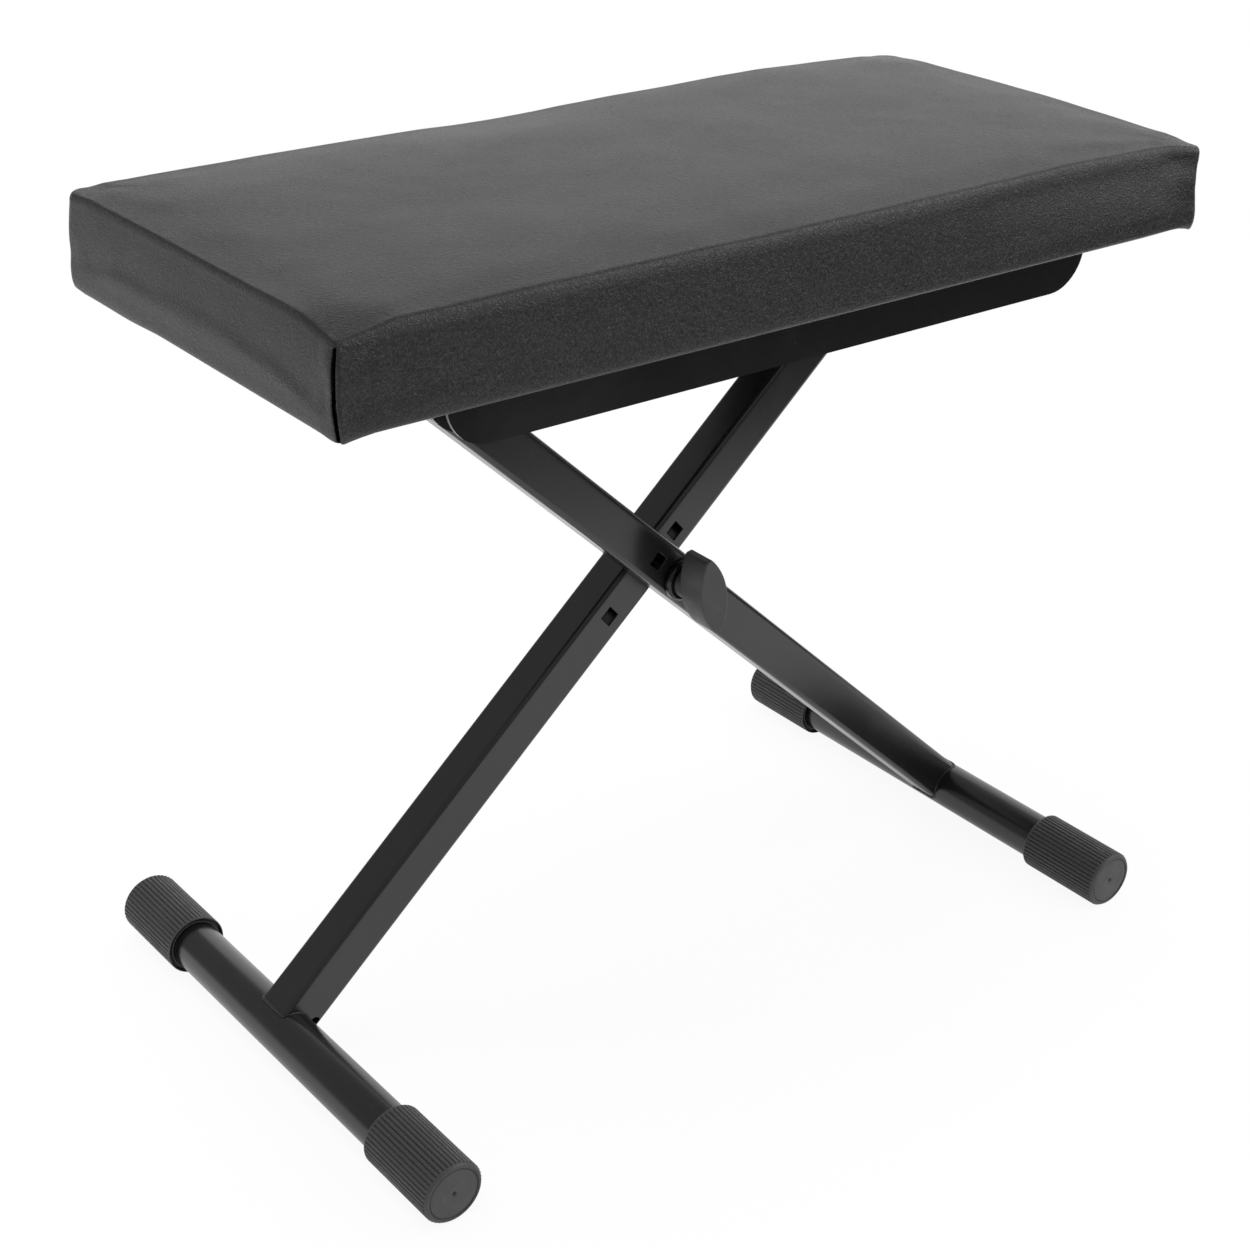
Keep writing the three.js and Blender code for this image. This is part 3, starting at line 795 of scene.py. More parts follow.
@dataclass
class Cushion:
    """Foam in a leatherette cover that is folded into a pleat at each corner and stapled under the board."""

    workshop: Workshop
    # The top edge's section as (inset, rise), a long curve that ends in a crease, and its size at the corners
    edge_line: tuple[Point, ...] = ((0, 0), (0.4, 4.8), (1.5, 9.0), (2.7, 11.3), (4.0, 12), (7.0, 12))
    edge: float = 12
    crisp_edge: float = 5
    crisp_share: float = 0.5
    crisp_reach: float = 40
    slump_reach: float = 130
    least_corner: float = 0.4
    top_draw: float = 2.4
    bottom_draw: float = 0.5
    crown: float = 3.0
    hem_edge: float = 3
    hem_width: float = 26
    skin: float = 1.2
    pocket_inset: float = 5.3
    side_steps: int = 16
    crown_steps: int = 20
    pleat_run: float = 12
    pleat_columns: int = 104
    long_columns: int = 78
    short_columns: int = 30
    swell_cap: float = 0.9
    voxel: float = 5.0
    # The pleat at a corner: its slit, how much narrower that gets downwards, the hollow behind the slit, and how
    # far after a round corner the slit starts
    slit: float = 3.3
    narrowing: float = 0.3
    hollow: float = 6.5
    depths: Point = (3.4, 5.6)
    slit_start: float = 1.4
    slit_share: float = 0.8
    # The cover just before the slit of a flush corner, as (along the side, out of it)
    flush_lead: tuple[Point, ...] = ((-0.3, -3.8), (-0.45, -2.7), (0.05, -1.3), (0.75, -0.7))
    # How far the pleat is folded at the shoulder, from which share of the side it closes, and up to which of the edge
    shoulder_fold: float = 0.65
    closes_from: float = 0.8
    closed_at: float = 0.45
    # From which inset, and over how much more, the columns stop gathering at the slit
    gathered: Point = (4, 14)
    # The left side's band, and how crisp its top edge is
    left_band: float = 14
    left_crisp: float = 0.85
    # Rises and dips of the top's rear half, as (place, width, height), and how far its left half lies lower
    rear_waves: tuple[Triple, ...] = ((175, 80, 1.4), (-25, 60, -1.7))
    rear_low: float = 0.7
    # The hem: how it sags at the corners and along the left side, more so between two places there
    hem_sag: float = 1.8
    sag_reach: float = 26
    hem_thick: float = 2.2
    left_sag: Point = (0.8, 1.6)
    # The front right corner: how far its ear and its foot stand out, their form down from the top, and its lip
    ear: float = 2.7
    ear_reach: float = 17
    ear_form: tuple[Triple, ...] = ((0, 7, 1), (22, 9, -0.75))
    foot: float = 1.3
    foot_rise: float = 20
    lip: Point = (1.7, 0.9)
    lip_reach: float = 55
    # The front left corner's tuck at its hem, and how far the front leans back
    tuck: float = 1.4
    tuck_reach: float = 16
    lean: float = 5.5
    # Waves of the cover, as (length, height): long and short ones all over, those that the corners pull, upright,
    # and those that slant down from the front right corner, with the reach of these two
    long_wave: Point = (55, 0.45)
    short_wave: Point = (23, 0.22)
    pulled_wave: Point = (9, 0.9)
    pulled_rise: float = 26
    pulled_reach: float = 70
    slant_wave: Point = (9, 1.1)
    slant_rise: float = 30
    slant_reach: float = 95

    def __post_init__(self) -> None:
        """Reads the cover's place from its solid and sets the four corners' forms."""
        low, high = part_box("seat_cover")
        self.half_length = high.x / MM
        self.half_depth = high.y / MM
        self.bottom = low.z / MM
        self.top = high.z / MM - self.crown
        self.board_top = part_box("seat_board")[1].z / MM
        self.corners = {
            (-1, -1): CornerForm(6, 4.8, 42, 0.4, True), (1, -1): CornerForm(9, 3.4, 27, 2.0),
            (1, 1): CornerForm(11, 2.4, 40, 1.3), (-1, 1): CornerForm(12, 1.8, 30, 0.8),
        }

    def form_at(self, point: Vector) -> CornerForm:
        """The form of the corner nearest to a point."""
        return self.corners[(1 if point.x > 0 else -1, 1 if point.y > 0 else -1)]

    def fold_line(self, row: Row, form: CornerForm) -> tuple[list[Point], float, float]:
        """The pleat's section on a row.

        Args:
            row: the row.
            form: the corner's form.

        Returns:
            Points as (distance from the corner along the side, distance out of it), and the shares of the section's
            length at which its slit begins and ends.
        """
        round_to, height = max(form.rounding - row.inset, 2.5), row.height
        if form.flush:
            near = 0.9
            lead = [(0, -form.rounding), *self.flush_lead]
        else:
            near = round_to + self.slit_start
            turns = [QUARTER * step / 8 for step in range(9)]
            lead = [(round_to * (1 - math.cos(turn)), -round_to * (1 - math.sin(turn))) for turn in turns]
            lead.append((near - 0.3, -0.2))
        far = near + self.slit - self.narrowing * smooth_step((self.top - self.edge - height) / 30)
        low, high = self.depths
        depth = low + (high - low) * smooth_step((height - self.board_top - 2) / 8)
        back = far + self.hollow
        hidden = [
            (near, -1.5), (near - 0.3, -depth * 0.6), (near - 0.2, -depth), (back, -depth), (back + 0.5, -2.3),
            (far + 2.2, -1.6), (far + 0.1, -1.2),
        ]
        line = [
            *lead, *hidden, (far - 0.15, -0.75), (far + 0.3, -0.2), (far + 1.8, 0),
            (form.rounding + self.pleat_run, 0),
        ]
        reached = [0.0]
        for first, last in zip(line, line[1:]):
            reached.append(reached[-1] + math.dist(first, last))
        begins, ends = (reached[len(lead) + extra] / reached[-1] for extra in (0, len(hidden) - 1))
        return spread_along(softened(line, 0.8, 4), self.pleat_columns), begins, ends

    def draw_at(self, height: float) -> float:
        """How far the side is drawn in at a height, least half way up.

        Args:
            height: the height.

        Returns:
            The distance inwards.
        """
        from_middle = (height - self.bottom) / (self.top - self.bottom) * 2 - 1
        most = self.top_draw if from_middle > 0 else self.bottom_draw
        return most * from_middle * from_middle

    def outline(self, row: Row) -> list[Vector]:
        """The row's points, anticlockwise seen from above, starting at the front.

        Args:
            row: the row.

        Returns:
            The points, as many on every row.
        """
        points = self.level_line(row)
        if row.crisp is None:
            return points
        crisp = self.level_line(Row(*row.crisp, row.fold))
        return [p.lerp(c, max(self.near_corner(p, self.crisp_reach), self.on_left(p))) for p, c in zip(points, crisp)]

    def on_left(self, point: Vector) -> float:
        """How much a point belongs to the left side, whose top edge is as crisp as the corners."""
        return self.left_crisp * smooth_step(1.3 - (self.half_length + point.x) / self.left_band)

    def level_line(self, row: Row) -> list[Vector]:
        """The points of a level line with a pleat at each corner, without what crisp changes.

        Args:
            row: the row.

        Returns:
            The points, as many on every row.
        """
        half_x = self.half_length - row.inset
        half_y = self.half_depth - row.inset

        def front(side: int) -> list[Vector]:
            """A front corner's points, from the long side to the short side, which has the pleat."""
            zone = self.corner_zone(row, self.corners[(side, -1)], half_y)
            return [Vector((side * (half_x + out), along - half_y, row.height)) for along, out in zone]

        def rear(side: int) -> list[Vector]:
            """A rear corner's points, from the short side to the long side, which has the pleat."""
            zone = self.corner_zone(row, self.corners[(side, 1)], half_y)
            return [Vector((side * (half_x - along), half_y + out, row.height)) for along, out in zone]

        def straight(first: Vector, last: Vector, columns: int) -> list[Vector]:
            """Evenly spaced points between two others."""
            return [first.lerp(last, step / columns) for step in range(1, columns)]

        corners = [front(1), rear(1), rear(-1)[::-1], front(-1)[::-1]]
        columns = (self.short_columns, self.long_columns, self.short_columns, self.long_columns)
        points: list[Vector] = []
        for number, count in enumerate(columns):
            here, following = corners[number], corners[(number + 1) % 4]
            points += here + straight(here[-1], following[0], count)
        return points

    def corner_zone(self, row: Row, form: CornerForm, half_y: float) -> list[Point]:
        """Points round a corner and along its pleat, plain where the row has no fold.

        Args:
            row: the row that they belong to.
            form: the corner's form.
            half_y: half the row's width.

        Returns:
            Pairs of the distance from the corner along the pleated side and the distance out of that side.
        """
        corner = min(max(form.rounding - row.inset, self.least_corner), half_y)
        run = self.pleat_run * max(half_y - corner, 0) / (self.half_depth - form.rounding)
        turn = corner * QUARTER
        total = turn + run
        size = run / self.pleat_run
        mouth = turn * 0.5 if form.flush else turn + self.slit_start * size
        shut = mouth + self.slit_share * size
        folded_line, begins, ends = self.fold_line(row, form)
        start, over = self.gathered
        gathered = smooth_step(1 - (row.inset - start) / over)
        zone = []
        for index, folded in enumerate(folded_line):
            share = index / (self.pleat_columns - 1)
            if share < begins:
                near_slit = mouth * share / begins
            elif share < ends:
                near_slit = mouth + (shut - mouth) * (share - begins) / (ends - begins)
            else:
                near_slit = shut + (total - shut) * (share - ends) / (1 - ends)
            even = total * share ** 1.3
            along = even + (near_slit - even) * gathered
            if along < turn:
                angle = along / corner
                plain = (corner * (1 - math.cos(angle)), -corner * (1 - math.sin(angle)))
            else:
                plain = (corner + along - turn, 0.0)
            zone.append(tuple(p + (f - p) * row.fold for p, f in zip(plain, folded)))
        return zone

    def skin_rows(self) -> list[Row]:
        """Rows of the outside, from the hem's inner edge to the middle of the top.

        Returns:
            The rows in their order.
        """
        draw = self.draw_at(self.bottom)
        rows = [Row(self.hem_width, self.bottom), Row(self.hem_width - 1, self.bottom)]
        rows += [Row(inset, self.bottom) for inset in (20, 14, 9)]
        for step in range(5):
            angle = QUARTER * step / 4
            inset = draw + self.hem_edge * (1 - math.sin(angle))
            rows.append(Row(inset, self.bottom + self.hem_edge * (1 - math.cos(angle)), min(0.5 * step, 1)))
        shoulder = self.top - self.edge
        low = self.bottom + self.hem_edge
        for step in range(1, self.side_steps):
            share = step / self.side_steps
            height = low + (shoulder - low) * step / self.side_steps
            lifted = height + (self.edge - self.crisp_edge) * share ** 3
            closed = (1 - self.shoulder_fold) * smooth_step((share - self.closes_from) / (1 - self.closes_from))
            rows.append(Row(self.draw_at(height), height, 1 - closed, (self.draw_at(lifted), lifted)))
        draw, crisp_draw = self.draw_at(shoulder), self.draw_at(self.top - self.crisp_edge)
        for inset, rise in spread_along(softened(self.edge_line, 1.6, 5), 18):
            up = rise / self.edge
            crisp = (crisp_draw + inset * self.crisp_share, self.top - self.crisp_edge * (1 - up))
            fold = self.shoulder_fold * smooth_step((self.closed_at - up) / self.closed_at)
            rows.append(Row(draw + inset, shoulder + rise, fold, crisp))
        reach = self.edge_line[-1][0]
        start, crisp_start = draw + reach, crisp_draw + reach * self.crisp_share
        for step in range(1, self.crown_steps + 1):
            share = step / self.crown_steps
            inset = start + (self.half_depth - start) * share
            rows.append(Row(inset, self.top, 0, (crisp_start + (self.half_depth - crisp_start) * share, self.top)))
        return rows

    def pocket_rows(self) -> list[Row]:
        """Rows of the pocket that holds the board, from the middle of its ceiling to the hem's inner edge.

        Returns:
            The rows in their order.
        """
        ceiling = self.board_top + 0.3
        lip = self.bottom + self.skin
        rows = [Row(inset, ceiling) for inset in (self.half_depth, 90, 45, 12, self.pocket_inset)]
        rows += [Row(self.pocket_inset, lip + (ceiling - lip) / 2), Row(self.pocket_inset, lip)]
        return [*rows, Row(14, lip), Row(self.hem_width - 0.6, lip)]

    def crown_at(self, point: Vector) -> float:
        """How much higher than its edge the top stands at a point, a little uneven at the back.

        Args:
            point: a point of the top.

        Returns:
            The height over the edge.
        """
        along = 1 - min(abs(point.x) / self.half_length, 1) ** 5
        across = 1 - min(abs(point.y) / self.half_depth, 1) ** 3
        behind = smooth_step((point.y - 70) / 60)
        low = self.rear_low * smooth_step(-point.x / 60)
        return self.crown * along * across + (bells(point.x, self.rear_waves) - low) * behind

    def near_corner(self, point: Vector, reach: float) -> float:
        """One at a corner seen from above, falling to zero at the reach."""
        away = math.hypot(self.half_length - abs(point.x), self.half_depth - abs(point.y))
        return smooth_step(1 - away / reach)

    def grid(self, rows: Sequence[Row], shape: Callable[[Vector, Row], Vector]) -> Blank:
        """A skin through rows of points, closed round the cushion and at both its middles.

        Args:
            rows: the rows in their order.
            shape: gives a row's point its final place.

        Returns:
            The closed skin.
        """
        lines = [self.outline(row) for row in rows]
        columns = len(lines[0])
        blank = Blank()
        bmesh.ops.create_grid(blank.bm, x_segments=columns, y_segments=len(rows) - 1, size=1)
        for vert in blank.bm.verts:
            column = round((vert.co.x + 1) / 2 * columns) % columns
            level = round((vert.co.y + 1) / 2 * (len(rows) - 1))
            vert.co = shape(lines[level][column], rows[level])
        bmesh.ops.remove_doubles(blank.bm, verts=blank.bm.verts, dist=0.002)
        bmesh.ops.recalc_face_normals(blank.bm, faces=blank.bm.faces)
        return blank

    def rise(self, point: Vector, row: Row) -> Vector:
        """The point with the top's crown put on it and its corner's droop taken off.

        Args:
            point: a point of the skin.
            row: its row.

        Returns:
            The moved point.
        """
        form = self.form_at(point)
        share = max(point.z - self.bottom, 0) / (self.top - self.bottom)
        droop = form.droop * self.near_corner(point, form.reach)
        lift = -(droop + form.slump * self.near_corner(point, self.slump_reach)) * share ** 2
        above = (row.height - (self.top - self.edge)) / self.edge
        if above > 0:
            lift += self.crown_at(point) * smooth_step(above)
        return point + Vector((0, 0, lift))

    def swell(self) -> Callable[[Vector], Vector]:
        """How far the foam pushes the cover out at a point, found with a cloth under pressure.

        Returns:
            A function that gives the movement at a point of the plain skin.
        """
        plain = [Row(row.inset, row.height) for row in self.skin_rows()]
        middle = Row(self.half_depth, self.bottom)
        form = self.grid([middle, Row(70, self.bottom), *plain], self.rise).as_object("padding_form", MM)
        remesh = form.modifiers.new("even", "REMESH")
        remesh.mode = "VOXEL"
        remesh.voxel_size = self.voxel * MM
        pad = linked("padding", used_up(form))
        rest = [vert.co.copy() for vert in pad.data.vertices]
        held = [i for i, co in enumerate(rest) if co.z < (self.bottom + 7) * MM]
        pad.vertex_groups.new(name="held").add(held, 1.0, "REPLACE")
        cloth = pad.modifiers.new("cover", "CLOTH")
        cloth.settings.use_pressure = True
        cloth.settings.uniform_pressure_force = 4
        cloth.settings.vertex_group_mass = "held"
        cloth.settings.effector_weights.gravity = 0
        cloth.point_cache.frame_end = 20
        for number in range(1, 21):
            bpy.context.scene.frame_set(number)
        moved = [vert.co.copy() for vert in baked(pad).vertices]
        bpy.context.scene.frame_set(1)
        faces = [tuple(face.vertices) for face in pad.data.polygons]
        tree = BVHTree.FromPolygons(rest, faces)
        bpy.data.objects.remove(pad)
        cap = self.swell_cap
        LOG.info("the cloth moved by up to %.1f mm", max((a - b).length for a, b in zip(rest, moved)) / MM)

        def push(point: Vector) -> Vector:
            """The cloth's movement at the nearest place, softly capped, in millimetres.

            Args:
                point: the point.

            Returns:
                The movement.
            """
            spot, _, index, _ = tree.find_nearest(point * MM)
            ring = faces[index]
            weights = poly_3d_calc([rest[i] for i in ring], spot)
            step = sum(((moved[i] - rest[i]) * w for i, w in zip(ring, weights)), Vector()) / MM
            return step * (math.tanh(step.length / cap) * cap / step.length) if step.length > 1e-6 else step

        return push

    def build(self) -> bpy.types.Object:
        """Makes the cushion as one closed skin with a pocket for the board.

        Returns:
            The cushion.
        """
        push, outside = self.swell(), self.skin_rows()

        def shape(point: Vector, row: Row) -> Vector:
            """The point of the cover, with the crown, the swell and small folds on it.

            Args:
                point: the point on its level line.
                row: its row.

            Returns:
                The point's final place.
            """
            if row not in outside:
                return point
            made = self.rise(point, row)
            share = smooth_step((row.height - self.bottom - 6) / 14)
            made = made + push(made) * share
            return made + self.unevenness(made, share) + self.corner_pull(point)

        blank = self.grid([*self.pocket_rows(), *outside], shape)
        made = self.workshop.piece(
            blank, "seat_cushion", Body.SEAT, Slot.LEATHERETTE, ("seat_cover", "seat_foam"), crease=80)
        return made

    def corner_pull(self, point: Vector) -> Vector:
        """How the gathered cover hangs at its hem, leans back at the front and stands out at the front right.

        Args:
            point: the point on its level line.

        Returns:
            How far the cover moves there.
        """
        height = point.z - self.bottom
        under = 1 - smooth_step(height / self.hem_thick)
        ripple = 0.75 + 0.6 * noise.noise(Vector((point.x / 7, point.y / 7, 4.5)))
        left = smooth_step(1 - (self.half_length + point.x) / self.left_band)
        least, more = self.left_sag
        loose = left * (least + more * smooth_step((point.y - 30) / 40) * smooth_step((132 - point.y) / 20))
        sag = -(self.hem_sag * self.near_corner(point, self.sag_reach) * ripple + loose) * under
        along = smooth_step((point.x - 10) / 230) * (1 - 0.7 * smooth_step((point.x - 268) / 26))
        front = smooth_step(1 - (self.half_depth + point.y) / 50)
        back = self.lean * along * front * smooth_step((height - 12) / 34)
        out = 0.0
        if point.x < 0 > point.y:
            out = self.tuck * (self.near_corner(point, self.tuck_reach) * smooth_step(1 - height / self.tuck_reach))
        elif point.x > 0 > point.y:
            near = self.near_corner(point, self.ear_reach)
            foot = self.foot * (smooth_step(1 - height / self.foot_rise) * near)
            out = self.ear * bells(self.top - point.z, self.ear_form) * near + foot
            raised, lowered = self.lip
            sag -= raised * near * under - lowered * under * (self.near_corner(point, self.lip_reach) - near)
        return Vector((out, back, sag))

    def unevenness(self, point: Vector, share: float) -> Vector:
        """Slight waves of the cover, stronger near the corners where it is gathered.

        Args:
            point: a point of the skin.
            share: how much of the waves shows there.

        Returns:
            How far the cover moves there.
        """
        (long, high), (short, low) = self.long_wave, self.short_wave
        wave = noise.noise(point / long) * high + noise.noise(point / short + Vector((7, 3, 1))) * low
        length, depth = self.pulled_wave
        upright = Vector((point.x / length, point.y / length, point.z / self.pulled_rise))
        pull = noise.noise(upright) * depth * self.near_corner(point, self.pulled_reach)
        if point.x > 0 > point.y:
            down = self.top - point.z
            length, depth = self.slant_wave
            slant = Vector(((point.x + down * 0.8) / self.slant_rise, 0.3, (point.x * 0.6 - down) / length))
            pull += noise.noise(slant) * depth * self.near_corner(point, self.slant_reach)
        side = Vector((0, math.copysign(1, point.y), 0))
        if self.half_length - abs(point.x) < self.half_depth - abs(point.y):
            side = Vector((math.copysign(1, point.x), 0, 0))
        up = smooth_step((point.z - self.top + self.edge) / self.edge)
        return (side * (1 - up) + Vector((0, 0, 1)) * up) * (wave + pull) * share


@dataclass
class Underside:
    """The cloth stretched under the board, with the staples that hold it and the board itself."""

    workshop: Workshop
    corner: float = 6
    staple_pitch: float = 34
    staple_inset: float = 2.6
    staple: Triple = (10.5, 1.2, 0.5)
    staple_end: float = 20
    thickness: float = 0.3

    def build(self) -> None:
        """Makes the cloth and its staples, and dresses the board."""
        low, high = (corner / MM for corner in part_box("dust_cover"))
        size = high - low
        blank = Blank()
        bmesh.ops.create_grid(blank.bm, x_segments=94, y_segments=39, size=0.5)
        for vert in blank.bm.verts:
            x, y = vert.co.x * size.x, vert.co.y * size.y
            over_x = abs(x) - (high.x - self.corner)
            over_y = abs(y) - (high.y - self.corner)
            if over_x > 0 and over_y > 0:
                reach = max(over_x, over_y) / math.hypot(over_x, over_y)
                x -= math.copysign(over_x * (1 - reach), x)
                y -= math.copysign(over_y * (1 - reach), y)
            edge = min(high.x - abs(x), high.y - abs(y))
            ripple = noise.noise(Vector((x / 22, y / 22, 0.5))) * 0.12 * smooth_step(1 - edge / 30)
            vert.co = (x, y, low.z + 0.15 + ripple)
        sheet = self.workshop.piece(blank, "underside_cloth", Body.SEAT, Slot.NON_WOVEN, ("dust_cover",))
        wall = sheet.modifiers.new("thickness", "SOLIDIFY")
        wall.thickness = self.thickness * MM
        wall.offset = 1

        staples = Blank()
        line_x = high.x - self.staple_inset
        line_y = high.y - self.staple_inset
        for side in (-1, 1):
            for turned, half, line in ((False, line_x, line_y), (True, line_y, line_x)):
                reach = half - self.staple_end
                count = round(reach * 2 / self.staple_pitch)
                for step in range(count + 1):
                    place = (step / count * 2 - 1) * reach
                    spot = (side * line, place) if turned else (place, side * line)
                    self.add_staple(staples, spot, turned, low.z)
        self.workshop.piece(staples, "cloth_staples", Body.SEAT, Slot.ZINC)
        self.workshop.finishes.dress(frame["nodes"]["seat_board"], Slot.PLYWOOD)

    def add_staple(self, staples: Blank, spot: Point, turned: bool, height: float) -> None:
        """Adds one staple's crown under the cloth.

        Args:
            staples: the blank that it is added to.
            spot: its place under the cloth.
            turned: whether it lies along Y.
            height: the cloth's underside.
        """
        matrix = Matrix.Translation((*spot, height - self.staple[2] / 2)) @ Matrix.Rotation(QUARTER * turned, 4, "Z")
        made = bmesh.ops.create_cube(staples.bm, size=1, matrix=matrix @ Matrix.Diagonal((*self.staple, 1)))
        edges = {edge for vert in made["verts"] for edge in vert.link_edges}
        staples.round_edges(edges, 0.18, 1)


@dataclass
class Rails:
    """Two channels under the seat, open downwards, that carry the legs' pivots."""

    workshop: Workshop
    bend: float = 3
    wall: float = 2
    end_radius: float = 25
    pivot_hole: float = 8.6
    screw_hole: float = 5.6
    screw_pitch: float = 150
    columns: int = 72

    def section(self, width: float, height: float) -> list[Point]:
        """The outer line of the channel from the inner side's lower edge to the outer side's, as (across, up).

        Args:
            width: the channel's width.
            height: its height.

        Returns:
            The line's points.
        """
        line = [(0.0, self.end_radius * (1 - math.cos(QUARTER * step / 12))) for step in range(13)]
        corner = height - self.bend
        line += [(self.bend * (1 - math.cos(QUARTER * s / 6)), corner + self.bend * math.sin(QUARTER * s / 6))
                 for s in range(7)]
        line.append((width / 2, height))
        return line + [(width - across, up) for across, up in reversed(line[:-1])]

    def build(self) -> None:
        """Makes both rails with their screws."""
        for name, turn in (("rear", 0.0), ("front", 2 * QUARTER)):
            low, high = (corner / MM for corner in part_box("rear_rail"))
            section = self.section(high.y - low.y, high.z - low.z)
            blank = Blank()
            bmesh.ops.create_grid(blank.bm, x_segments=self.columns, y_segments=len(section) - 1, size=1)
            for vert in blank.bm.verts:
                across, up = section[round((vert.co.y + 1) / 2 * (len(section) - 1))]
                short = max(self.end_radius - up, 0)
                end = high.x - self.end_radius + math.sqrt(self.end_radius ** 2 - short ** 2)
                vert.co = (vert.co.x * end, low.y + across, low.z + up)
            blank.mended()
            solid = blank.hollowed(self.wall, sum(f.normal.z for f in blank.bm.faces if f.normal.z ** 2 > 0.9))
            pivot = Vector(frame["joints"][0]["pos_m"]) / MM
            drills = []
            for side in (-1, 1):
                drill = Blank.rod(self.pivot_hole / 2, -6, 6, 40)
                drills.append(drill.move(Matrix.Translation((side * pivot.x, low.y, pivot.z))))
            for step in (-1, 0, 1):
                drill = Blank.rod(self.screw_hole / 2, -6, 6, 32)
                middle = (step * self.screw_pitch, (low.y + high.y) / 2, high.z)
                drills.append(drill.move(Matrix.Translation(middle) @ Matrix.Rotation(QUARTER, 4, "X")))
            rail = solid.combined(Cut.LESS, *drills)
            place = Matrix.Rotation(turn, 4, "Z")
            self.workshop.piece(
                rail, f"{name}_channel", Body.SEAT, Slot.POWDER_COAT, (f"{name}_rail",), place, edge=0.35)
            for number in (1, 2, 3):
                node = f"{name}_rail_screw_{number}"
                self.screw(node, centre_of(node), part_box(node)[0].z / MM)

    def screw(self, node: str, centre: Vector, low: float) -> None:
        """Makes one pan-head screw, its head down and its point in the board.

        Args:
            node: the solid that it stands for.
            centre: that solid's middle.
            low: the height of its head's lower face.
        """
        profile = softened([(0, 0), (4.0, 0.05), (5.0, 1.9), (5.0, 3.2), (2.5, 3.2)], 1.1)
        profile = profile[:-1] + [(2.5, 3.2), (2.5, 14.4), (1.2, 16.6), (0, 17.2)]
        head = Blank.turned(profile, 40).move(Matrix.Rotation(QUARTER, 4, "X"))
        recess = [Blank.block((5.4, 1.2, 3), (0, 0, 0)).move(Matrix.Rotation(turn, 4, "Z"))
                  for turn in (0.4, QUARTER + 0.4)]
        made = head.combined(Cut.LESS, *recess)
        place = Matrix.Translation((centre.x, centre.y, low))
        self.workshop.piece(made, f"{node}_pan", Body.SEAT, Slot.ZINC, (node,), place)


# Legs


